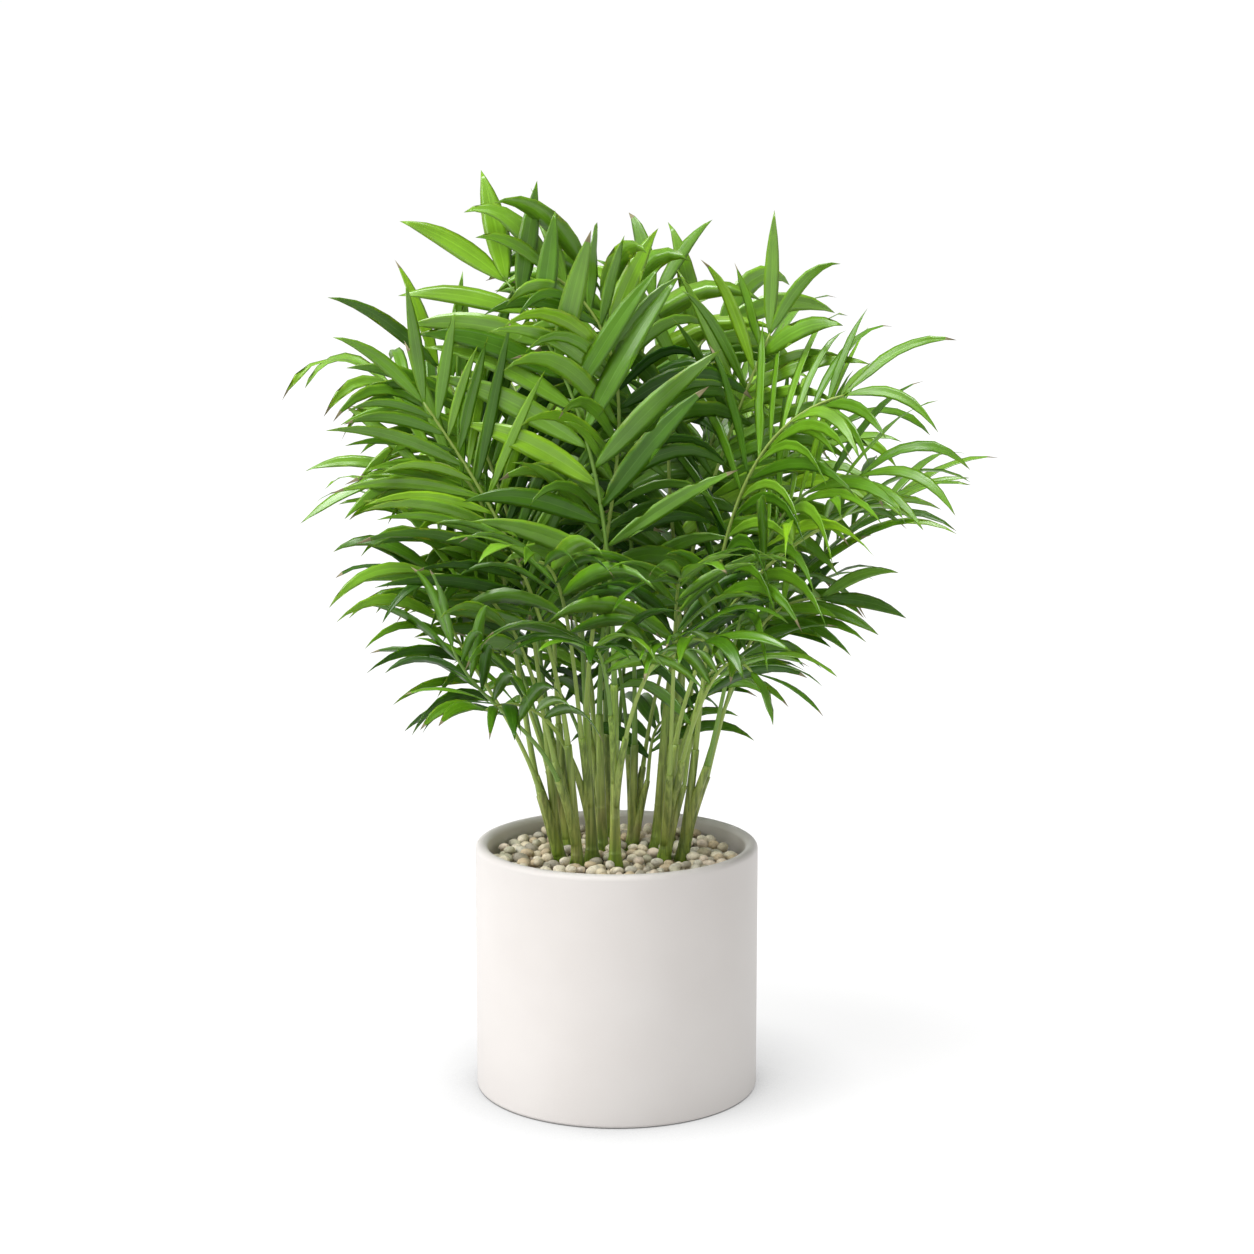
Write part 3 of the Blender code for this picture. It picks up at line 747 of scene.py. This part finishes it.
def glazed_ceramic():
    """Satin warm white with faint clouds and fine specks."""
    finish = Finish("warm white ceramic", Coat_Weight=0.10, Coat_Roughness=0.30)
    where = finish.place()
    clouds = finish.noise(where, 9, 3)
    specks = finish.noise(where, 700, 2)
    colour = finish.ramp(clouds, (0.30, (0.640, 0.605, 0.580)), (0.75, (0.692, 0.662, 0.638)))
    finish.feed("Base Color", finish.blend(specks * 0.08, colour, (0.50, 0.47, 0.44)))
    finish.feed("Roughness", 0.42 + clouds * 0.16)
    finish.relief(specks * 0.4 + finish.noise(where, 60, 3), 0.00012, 0.6)
    return finish.material


def potting_soil():
    """Dark crumbs."""
    finish = Finish("dark potting mix", Roughness=0.95)
    crumbs = finish.noise(finish.place(), 260, 6, 0.7)
    dark, light = (0.02, 0.014, 0.01), (0.09, 0.06, 0.04)
    finish.feed("Base Color", finish.ramp(crumbs, (0.3, dark), (0.7, light)))
    finish.relief(crumbs, 0.0015)
    return finish.material


def pebble_stone(name, colour):
    """One kind of worn stone, veined and finely grained."""
    finish = Finish(f"{name} pebble", Roughness=0.62)
    where = finish.place()
    grain = finish.noise(where, 900, 3, 0.6)
    veins = finish.noise(where, 170, 2)
    dark = [c * 0.66 for c in colour]
    light = [min(1.0, c * 1.14) for c in colour]
    base = finish.ramp(veins * 0.6 + grain * 0.4, (0.34, dark), (0.52, colour), (0.68, light))
    finish.feed("Base Color", base)
    finish.feed("Roughness", 0.5 + grain * 0.25)
    finish.relief(grain, 0.00015, 0.5)
    return finish.material


def cane_skin(tint):
    """Smooth green cane: brighter at the foot, greyer above, with dark streaks that are partly its
    own and partly painted shade for its shaded sides.
    """
    finish = Finish("cane skin", Subsurface_Weight=0.05, Subsurface_Scale=0.002)
    where = finish.place()
    height = finish.node("ShaderNodeSeparateXYZ", {}, {"Vector": where}, "Z")
    streaks = finish.noise(finish.place((1, 1, 0.035)), 420, 3, 0.6)
    streak_and_shade = finish.node("ShaderNodeMapRange", {}, {"Value": streaks, 1: 0.36, 2: 0.62}, "Result")
    patches = finish.noise(finish.place((1, 1, 0.4)), 55, 2)
    up = finish.node("ShaderNodeMapRange", {}, {"Value": height, 1: 0.164, 2: 0.27}, "Result")
    stops = [(at, [c * tint for c in colour]) for at, colour in CANE_GREENS]
    body = finish.ramp(up + patches * 0.25 - 0.12, *stops)
    # Dark streaks blended in: partly the cane's own streaks, partly painted shade
    body = finish.blend(streak_and_shade * 0.72, body, [c * tint for c in CANE_STREAK_AND_SHADE])
    flush = finish.ramp(patches, (0.60, (0, 0, 0)), (0.74, (1, 1, 1)))
    mask = finish.node("ShaderNodeRGBToBW", {}, {"Color": flush}, "Val") * 0.35
    finish.feed("Base Color", finish.blend(mask, body, CANE_FLUSH))
    finish.feed("Roughness", 0.36 + streaks * 0.2)
    finish.relief(streaks, 0.0003, 0.5)
    return finish.material


def stalk_skin(name, colour):
    """Smooth green stalk with darker streaks along it."""
    finish = Finish(f"{name} stalk", Subsurface_Weight=0.05, Subsurface_Scale=0.002)
    streaks = finish.noise(finish.place((1, 1, 0.05)), 600, 2)
    finish.feed("Base Color", finish.blend(streaks * 0.4, colour, [c * 0.6 for c in colour]))
    finish.feed("Roughness", 0.34 + streaks * 0.16)
    return finish.material


def leaf_skin(name, colour):
    """Satin leaflet of one plain green with fine veins along it, and a little clear."""
    finish = Finish(
        f"{name} leaflet",
        Subsurface_Weight=0.14,
        Subsurface_Scale=0.0014,
        Subsurface_Radius=(0.9, 1.0, 0.15),
        Specular_IOR_Level=min(0.50, 0.12 + 1.3 * colour[1]),
        Coat_Weight=min(0.35, 1.2 * colour[1]),
        Coat_Roughness=0.24,
    )
    blade = finish.node("ShaderNodeUVMap", {"uv_map": "blade"}, {}, "UV")
    drawn_out = finish.node("ShaderNodeMapping", {}, {"Vector": blade, "Scale": (9, 0.8, 1)})
    veins = finish.noise(drawn_out, 1, 2, 0.6)
    mottle = finish.noise(finish.place(), 34, 3)
    base = finish.ramp(
        mottle * 0.55 + veins * 0.45,
        (0.36, [c * 0.80 for c in colour]),
        (0.64, [min(1, c * 1.20) for c in colour]),
    )
    finish.feed("Base Color", base)
    finish.feed("Roughness", 0.20 + mottle * 0.12 + veins * 0.14)
    finish.relief(veins, 0.00012, 0.6)
    return finish.material


def start_piece(operator, **settings):
    """Adds one primitive on its own, all of it selected, in edit mode."""
    if bpy.context.object and bpy.context.object.mode != "OBJECT":
        bpy.ops.object.mode_set(mode="OBJECT")
    bpy.ops.object.select_all(action="DESELECT")
    operator(**settings)
    bpy.ops.object.mode_set(mode="EDIT")
    bpy.ops.mesh.select_mode(type="FACE")


def select(kind, wanted):
    """Selects those that are wanted of one kind, FACE or EDGE, in the mesh that is being edited."""
    bpy.ops.mesh.select_mode(type=kind)
    bpy.ops.mesh.select_all(action="DESELECT")
    mesh = bmesh.from_edit_mesh(bpy.context.object.data)
    for part in mesh.faces if kind == "FACE" else mesh.edges:
        part.select_set(bool(wanted(part)))
    mesh.select_flush_mode()
    bmesh.update_edit_mesh(bpy.context.object.data)


def faces_up(face):
    return face.normal.z > 0.9


def runs_round(height):
    """A test for the edges that run round the pot at this height."""

    def wanted(edge):
        a, b = (vert.co for vert in edge.verts)
        level = max(abs(a.z - height), abs(b.z - height)) < SAME
        return level and abs(a.to_2d().length - b.to_2d().length) < SAME

    return wanted


def end_piece(name, finish, sharp=None):
    """Leaves edit mode, puts the place into the mesh and gives the piece its name and finish."""
    bpy.ops.object.mode_set(mode="OBJECT")
    bpy.ops.object.transform_apply(location=True, rotation=True, scale=True)
    piece = bpy.context.object
    piece.name = piece.data.name = name
    piece.data.materials.append(finish)
    if sharp:
        bpy.ops.object.shade_smooth_by_angle(angle=math.radians(sharp))
    else:
        bpy.ops.object.shade_smooth()
    return piece


def make_pot():
    """A cylinder, hollowed by an inset and a downward extrude, with a soft lip and foot."""
    start_piece(
        bpy.ops.mesh.primitive_cylinder_add,
        vertices=160,
        radius=POT_RADIUS,
        depth=POT_HEIGHT,
        location=(0, 0, POT_HEIGHT / 2),
    )
    select("FACE", faces_up)
    bpy.ops.mesh.inset(thickness=POT_WALL)
    down = (0, 0, POT_FLOOR - POT_HEIGHT)
    bpy.ops.mesh.extrude_region_move(TRANSFORM_OT_translate={"value": down})
    select("EDGE", runs_round(POT_HEIGHT / 2))
    bpy.ops.mesh.bevel(offset=LIP_ROUND, segments=7, profile=0.5)
    select("EDGE", runs_round(-POT_HEIGHT / 2))
    bpy.ops.mesh.bevel(offset=FOOT_ROUND, segments=4)
    piece = end_piece("ceramic_pot", glazed_ceramic(), sharp=40)
    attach(piece, "root")
    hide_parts("pot")


def mesh_piece(name, pile, materials):
    """One joined piece from a pile, with these materials in its slots."""
    mesh = bpy.data.meshes.new(name)
    mesh.from_pydata(pile.points, [], pile.faces)
    for finish in materials:
        mesh.materials.append(finish)
    mesh.polygons.foreach_set("material_index", pile.slots)
    mesh.shade_smooth()
    piece = bpy.data.objects.new(name, mesh)
    bpy.context.scene.collection.objects.link(piece)
    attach(piece, "root")
    return piece


class Pile:
    """Points, faces and material slots gathered for one joined piece, and on leaflets each
    point's place across and along its blade."""

    def __init__(self):
        self.points, self.faces, self.slots, self.places = [], [], [], []

    def add(self, points, faces, slots, places=()):
        """Adds a shape with one slot for all its faces or a list with one for each."""
        base = len(self.points)
        self.points += points
        self.faces += [[base + i for i in face] for face in faces]
        self.slots += slots if isinstance(slots, list) else [slots] * len(faces)
        self.places += places


def pebble_shapes():
    """A few worn stones, each from an icosphere that is stretched, roughened and smoothed."""
    rng = random.Random(SEEDS["stones"])
    shapes = []
    for number in range(PEBBLE_SHAPES):
        start_piece(bpy.ops.mesh.primitive_ico_sphere_add, subdivisions=2, radius=1)
        stretch = [rng.uniform(*limits) for limits in PEBBLE_STRETCH]
        bpy.ops.transform.resize(value=stretch)
        bpy.ops.transform.vertex_random(offset=0.16, uniform=0.2, seed=number)
        bpy.ops.mesh.vertices_smooth(factor=0.5, repeat=4)
        bpy.ops.object.mode_set(mode="OBJECT")
        stone = bpy.context.object
        spread = max(v.co.length for v in stone.data.vertices)
        points = [v.co / spread for v in stone.data.vertices]
        shapes.append((points, [list(f.vertices) for f in stone.data.polygons]))
        bpy.data.objects.remove(stone)
    return shapes


def pebble_places(canes):
    """Stones dropped one by one: each comes to rest on those under it, up to the bed's crown."""
    rng = random.Random(SEEDS["bed"])
    placed = []
    for _ in range(PEBBLE_DROPS):
        size = rng.uniform(*PEBBLE_SIZES)
        away = (FILL_RADIUS - size) * math.sqrt(rng.random())
        turn = rng.uniform(0, math.tau)
        spot = Vector((away * math.cos(turn), away * math.sin(turn)))
        beside = size * PEBBLE_BY_CANE
        if any((spot - c.foot.to_2d()).length < c.radius(0) + beside for c in canes.values()):
            continue
        height = PEBBLE_TOP - PEBBLE_SINKS
        for other, other_size in placed:
            level = (spot - other.to_2d()).length
            reach = (size + other_size) * PEBBLE_NESTLES
            if level < reach:
                rise = PEBBLE_FLATNESS * math.sqrt(reach**2 - level**2)
                height = max(height, other.z + rise)
        if height + size * PEBBLE_TOP_SHARE < PEBBLE_CROWN:
            placed.append((Vector((spot.x, spot.y, height)), size))
    return placed


def make_pebbles(canes):
    """All the stones in one joined piece, over a disc of dark grit."""
    rng = random.Random(SEEDS["pebble colours"])
    names = list(PEBBLES)
    shapes = pebble_shapes()
    pile = Pile()
    for place, size in pebble_places(canes):
        points, faces = rng.choice(shapes)
        turn = Matrix.Rotation(rng.uniform(0, math.tau), 3, "Z")
        tilt = Matrix.Rotation(rng.uniform(-PEBBLE_TILT, PEBBLE_TILT), 3, "X")
        turn = turn @ tilt @ Matrix.Rotation(rng.uniform(0, math.tau), 3, "Z")
        slot = names.index(rng.choice(PEBBLE_DEAL))
        pile.add([place + turn @ p * size for p in points], faces, slot)
    stones = mesh_piece("pebbles", pile, [pebble_stone(name, PEBBLES[name]) for name in names])
    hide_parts("pebble_layer")
    start_piece(
        bpy.ops.mesh.primitive_cylinder_add,
        vertices=64,
        radius=FILL_RADIUS,
        depth=GRIT_DEPTH,
        location=(0, 0, PEBBLE_TOP - GRIT_DROP),
    )
    select("FACE", faces_up)
    bpy.ops.mesh.inset(thickness=0.004)
    bed = end_piece("grit_under_pebbles", potting_soil(), sharp=30)
    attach(bed, "root")
    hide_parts("pebble_layer")


def cane_rings(cane, rng):
    """Heights and radii up one cane: a swollen foot, then a low rim where each sheath ended."""
    length = cane.tip.z - cane.foot.z
    yield 0.0, cane.radius(0) * 0.97
    yield 0.0015 / length, cane.radius(0)
    at = rng.uniform(0.006, 0.014)
    while at < length - 0.006:
        t = at / length
        for rise, width in SHEATH_RIM:
            yield t + rise / length, cane.radius(t) * width
        at += NODE_SPACING * rng.uniform(0.8, 1.25)
    yield 1 - 0.002 / length, cane.radius(1)
    yield 1.0, cane.radius(1) * 0.93


def slim(t):
    """How much slimmer than its solid a cane is: not at the foot, more above it."""
    return 1 - CANE_SLIMS * min(1.0, t / SLIM_FROM)


def make_cane(cane, rng, skin):
    """One cane, extruded ring by ring from a disc at its foot."""
    rings = [(t, radius * slim(t)) for t, radius in cane_rings(cane, rng)]
    start_piece(
        bpy.ops.mesh.primitive_circle_add,
        vertices=CANE_RING_SIDES,
        radius=rings[0][1],
        fill_type="NGON",
        location=cane.foot,
    )
    for (low, narrow), (high, wide) in zip(rings, rings[1:]):
        rise = cane.point(high) - cane.point(low)
        bpy.ops.mesh.extrude_region_move(TRANSFORM_OT_translate={"value": rise})
        grow = wide / narrow
        bpy.ops.transform.resize(value=(grow, grow, 1), center_override=cane.point(high))
    bpy.ops.mesh.select_all(action="SELECT")
    bpy.ops.mesh.normals_make_consistent(inside=False)
    piece = end_piece(cane.name + "_skin", skin, sharp=50)
    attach(piece, "root")
    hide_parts(cane.name)


def tube(centres, radii, sides):
    """Rings round a line of centres, joined into a tube with closed ends."""
    points, faces = [], []
    along = (centres[1] - centres[0]).normalized()
    side = across(Vector((1, 0.3, 0)), along)
    for number, (centre, radius) in enumerate(zip(centres, radii)):
        before = centres[max(0, number - 1)]
        after = centres[min(len(centres) - 1, number + 1)]
        along = (after - before).normalized()
        side = across(side, along)
        other = along.cross(side)
        for corner in range(sides):
            turn = math.tau * corner / sides
            points.append(centre + (side * math.cos(turn) + other * math.sin(turn)) * radius)
    for ring in range(len(centres) - 1):
        for corner in range(sides):
            a = ring * sides + corner
            b = ring * sides + (corner + 1) % sides
            faces.append([a, b, b + sides, a + sides])
    last = (len(centres) - 1) * sides
    faces.append(list(range(sides))[::-1])
    faces.append([last + corner for corner in range(sides)])
    return points, faces


def add_stalk(pile, frond, rng):
    """Stalk and rib as one tube that leaves its sheath and thins towards the tip."""
    start = 0.8 * SHEATH_RISE / frond.length
    stations = [start + (1 - start) * i / STALK_STEPS for i in range(STALK_STEPS + 1)]
    centres = [frond.curve(t) for t in stations]
    foot, less = STALK_SLIMS
    radii = [frond.radius(t) * (foot - less * t) for t in stations]
    radii[-1] *= 0.6
    pile.add(*tube(centres, radii, STALK_SIDES), rng.choice(STALK_DEAL))


def add_sheath(pile, frond):
    """The sheath that clasps the cane below the fork and closes round the stalk above it."""
    cane = frond.cane
    length = (cane.tip - cane.foot).length
    low_share = max(0.05, frond.fork - SHEATH_DROP / length)
    low = cane.point(low_share)
    top_share = SHEATH_RISE / frond.length
    top = frond.curve(top_share)
    middle = cane.point(frond.fork).lerp(frond.curve(0), 0.55)
    centres, radii = [], []
    for step in range(SHEATH_STEPS + 1):
        s = step / SHEATH_STEPS
        centres.append(low * (1 - s) ** 2 + middle * 2 * s * (1 - s) + top * s * s)
        wide = cane.radius(low_share) * slim(low_share) * 0.96
        radii.append(wide + (frond.radius(top_share) * 1.10 - wide) * s**0.8)
    pile.add(*tube(centres, radii, SHEATH_SIDES), 0)


def blade_width(leaflet, t):
    """Half the blade's width: narrow at the root, widest before the middle, drawn out to a tip."""
    if t < WIDEST_AT:
        share = (1 - (1 - t / WIDEST_AT) ** 2) ** 0.8
    else:
        share = (1 - ((t - WIDEST_AT) / (1 - WIDEST_AT)) ** 2.3) ** 1.15
    slimness = 1.0 if leaflet.breadth > BROAD_LEAF else BLADE_SLIMNESS
    return max(leaflet.breadth * slimness * share, BLADE_LEAST_WIDTH * (1 - t))


def blade(leaflet, rng):
    """A thin closed blade with raised parallel ribs, a shallow fold and a slight twist."""
    fold = rng.uniform(*FOLD)
    twist = rng.uniform(-TWIST, TWIST)
    ripple, phase = rng.uniform(0, RIPPLE), rng.uniform(0, math.tau)
    points, faces, places = [], [], []
    shift = rng.uniform(0, 60)
    for t in BLADE_STATIONS[:-1]:
        along = leaflet.heading_at(t)
        upward = Matrix.Rotation(twist * t, 3, along) @ across(leaflet.normal, along)
        side = upward.cross(along)
        half = blade_width(leaflet, t)
        centre = leaflet.point(t)
        thick = BLADE_THICKNESS * (1.2 - 0.7 * t)
        for x in BLADE_FACE:
            ridge = RIDGE_HEIGHT * (abs(x) < 1) * min(1, half / FULL_RIDGE_WIDTH)
            wave = ripple * abs(x) * math.sin(phase + 14 * t * (1 + x * 0.1))
            rise = abs(x) * fold * half + wave + ridge
            points.append(centre + side * x * half + upward * rise)
        for x in BLADE_BACK:
            points.append(centre + side * x * half + upward * (abs(x) * fold * half - thick))
        places += [(x, t + shift) for x in BLADE_FACE + BLADE_BACK]
    for row in range(len(BLADE_STATIONS) - 2):
        for corner in range(BLADE_RING):
            a = row * BLADE_RING + corner
            b = row * BLADE_RING + (corner + 1) % BLADE_RING
            faces.append([a, b, b + BLADE_RING, a + BLADE_RING])
    last = (len(BLADE_STATIONS) - 2) * BLADE_RING
    points.append(leaflet.point(1))
    places.append((0, 1 + shift))
    for corner in range(BLADE_RING):
        faces.append([last + corner, last + (corner + 1) % BLADE_RING, len(points) - 1])
    faces.append(list(range(BLADE_RING))[::-1])
    return points, faces, places


def blade_slots(leaf, brown_tip):
    """Material slot of each face of a blade: its green, a paler green on the thin strips of its
    ribs, and brown at the tip."""
    ribbed = [leaf + (corner in RIB_STRIPS) for corner in range(BLADE_RING)]
    plain = [leaf] * BLADE_RING
    tip = plain if not brown_tip else [0] * BLADE_RING
    return ribbed * (len(BLADE_STATIONS) - 3) + plain + tip + [leaf]


def painted_shade_deal(leaflet):
    """Painted shade and light: darker greens deep in the crown and low down, where shade falls, and
    lighter ones on its lit outside.
    """
    middle = leaflet.point(0.6)
    if (leaflet.point(0.5) - YOUNG_SPOT).length < YOUNG_REACH:
        return ["young"]
    deep = middle.to_2d().length < SHADE_CORE_REACH and middle.y > SHADE_CORE_FRONT
    if deep and middle.z < SHADE_CORE_TOP:
        return INNER_SHADE_DEAL
    return OUTER_LIT_DEAL if middle.z > SHADE_LOW_TOP else LOW_SHADE_DEAL


def make_fronds(fronds):
    """All leaflets in a few joined pieces, all stalks and ribs in one, and all sheaths in one."""
    rng = random.Random(SEEDS["blades"])
    skins = [Finish("dry tip", Base_Color=(*TIP_BROWN, 1), Roughness=0.6).material]
    for name, colour in GREENS.items():
        skins.append(leaf_skin(name, colour))
        rib = [c * RIB_GAIN + pale for c, pale in zip(colour, RIB_PALE)]
        skins.append(leaf_skin(name + " rib of a", rib))
    greens = list(GREENS)
    stalks, sheaths = Pile(), Pile()
    pile, pieces, held = Pile(), [], []
    for frond in fronds:
        add_stalk(stalks, frond, rng)
        add_sheath(sheaths, frond)
        held.append(frond.name)
        for leaflet in frond.leaflets:
            points, faces, places = blade(leaflet, rng)
            # Each leaflet's green is painted shade or light, chosen by its place in the crown
            leaf = 1 + 2 * greens.index(rng.choice(painted_shade_deal(leaflet)))
            pile.add(points, faces, blade_slots(leaf, rng.choice(BROWN_DEAL)), places)
        if len(pile.faces) > BLADES_IN_A_PIECE * len(BLADE_STATIONS) * BLADE_RING:
            pieces.append((pile, held))
            pile, held = Pile(), []
    pieces.append((pile, held))
    for number, (pile, held) in enumerate(pieces):
        leaves = mesh_piece(f"leaflets_{number + 1}", pile, skins)
        chart = leaves.data.uv_layers.new(name="blade")
        for loop, spot in zip(leaves.data.loops, chart.data):
            spot.uv = pile.places[loop.vertex_index]
        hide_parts(*held)
    stalk_skins = [stalk_skin(name, colour) for name, colour in STALKS.items()]
    names = [frond.name for frond in fronds]
    piece = mesh_piece("stalks_and_ribs", stalks, stalk_skins)
    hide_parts(*names)
    piece = mesh_piece("stalk_sheaths", sheaths, [cane_skin(1.0)])
    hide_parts(*names)


def make_sky():
    """A white band round the horizon, and above it a dimmer sky that is brighter on the left."""
    world = bpy.data.worlds.new("studio")
    bpy.context.scene.world = world
    world.use_nodes = True
    sky = Nodes(world.node_tree)
    way = sky.node("ShaderNodeTexCoord", {}, {}, "Generated")
    sideways = sky.node("ShaderNodeSeparateXYZ", {}, {"Vector": way}, "X")
    height = sky.node("ShaderNodeSeparateXYZ", {}, {"Vector": way}, "Z")
    sides = sky.ramp(sideways * 0.5 + 0.5, *greys(SIDES))
    whole = sky.blend(sky.ramp(height, *greys(HORIZON)), sides, [SKY_LEVEL] * 3)
    sky.tree.links.new(whole.socket, sky.tree.nodes["Background"].inputs["Color"])


def greys(stops):
    """Places and greys as places and colours."""
    return [(place, (grey, grey, grey)) for place, grey in stops]


def make_studio():
    """A white floor and sky, the floor glowing with a painted contact shadow round the pot's foot,
    soft light from the left and the photograph's camera.
    """
    start_piece(
        bpy.ops.mesh.primitive_plane_add, size=FLOOR_SIZE, location=(0, 0, -FLOOR_DROP)
    )
    bpy.ops.mesh.subdivide(number_cuts=3)
    white = Finish(
        "white floor",
        Base_Color=(FLOOR_PALE, FLOOR_PALE, FLOOR_PALE, 1),
        Roughness=0.9,
        Specular_IOR_Level=0.0,
        Emission_Strength=FLOOR_GLOW,
    )
    # Painted contact shadow: the floor's glow is dimmed where ambient occlusion finds the pot close
    # by
    settings = {"samples": 4, "only_local": False}
    free = white.node("ShaderNodeAmbientOcclusion", settings, {"Distance": PAINTED_SHADOW_REACH}, "AO")
    white.feed("Emission Color", white.ramp(free, *greys(PAINTED_CONTACT_SHADOW)))
    end_piece("floor", white.material)
    make_sky()
    for name, way, power, size in LAMPS:
        light = bpy.data.lights.new(name, "SUN")
        light.energy, light.angle = power, math.radians(size)
        lamp = bpy.data.objects.new(name, light)
        lamp.rotation_euler = Vector(way).to_track_quat("-Z", "Y").to_euler()
        bpy.context.scene.collection.objects.link(lamp)
    camera = bpy.data.cameras.new("camera")
    camera.sensor_width, camera.lens = 36, LENS
    camera.clip_start = 0.05
    holder = bpy.data.objects.new("camera", camera)
    holder.location = CAMERA_PLACE
    holder.rotation_euler = (math.radians(90 - CAMERA_DOWN), 0, math.radians(CAMERA_ASIDE))
    bpy.context.scene.collection.objects.link(holder)
    bpy.context.scene.camera = holder
    bpy.context.scene.view_settings.view_transform = "Standard"


def main():
    """Builds every piece in order."""
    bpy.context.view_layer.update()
    soil = potting_soil()
    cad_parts["potting_mix"].data.materials.clear()
    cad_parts["potting_mix"].data.materials.append(soil)
    canes = plan_canes()
    fronds = plan_fronds(canes)
    make_pot()
    make_pebbles(canes)
    rng = random.Random(SEEDS["sheath rims"])
    *skins, bright = [cane_skin(tint) for tint in CANE_TINTS]
    for number, cane in canes.items():
        make_cane(cane, rng, bright if number == BRIGHT_CANE else skins[(number - 1) % 2])
    make_fronds(fronds)
    make_studio()


main()
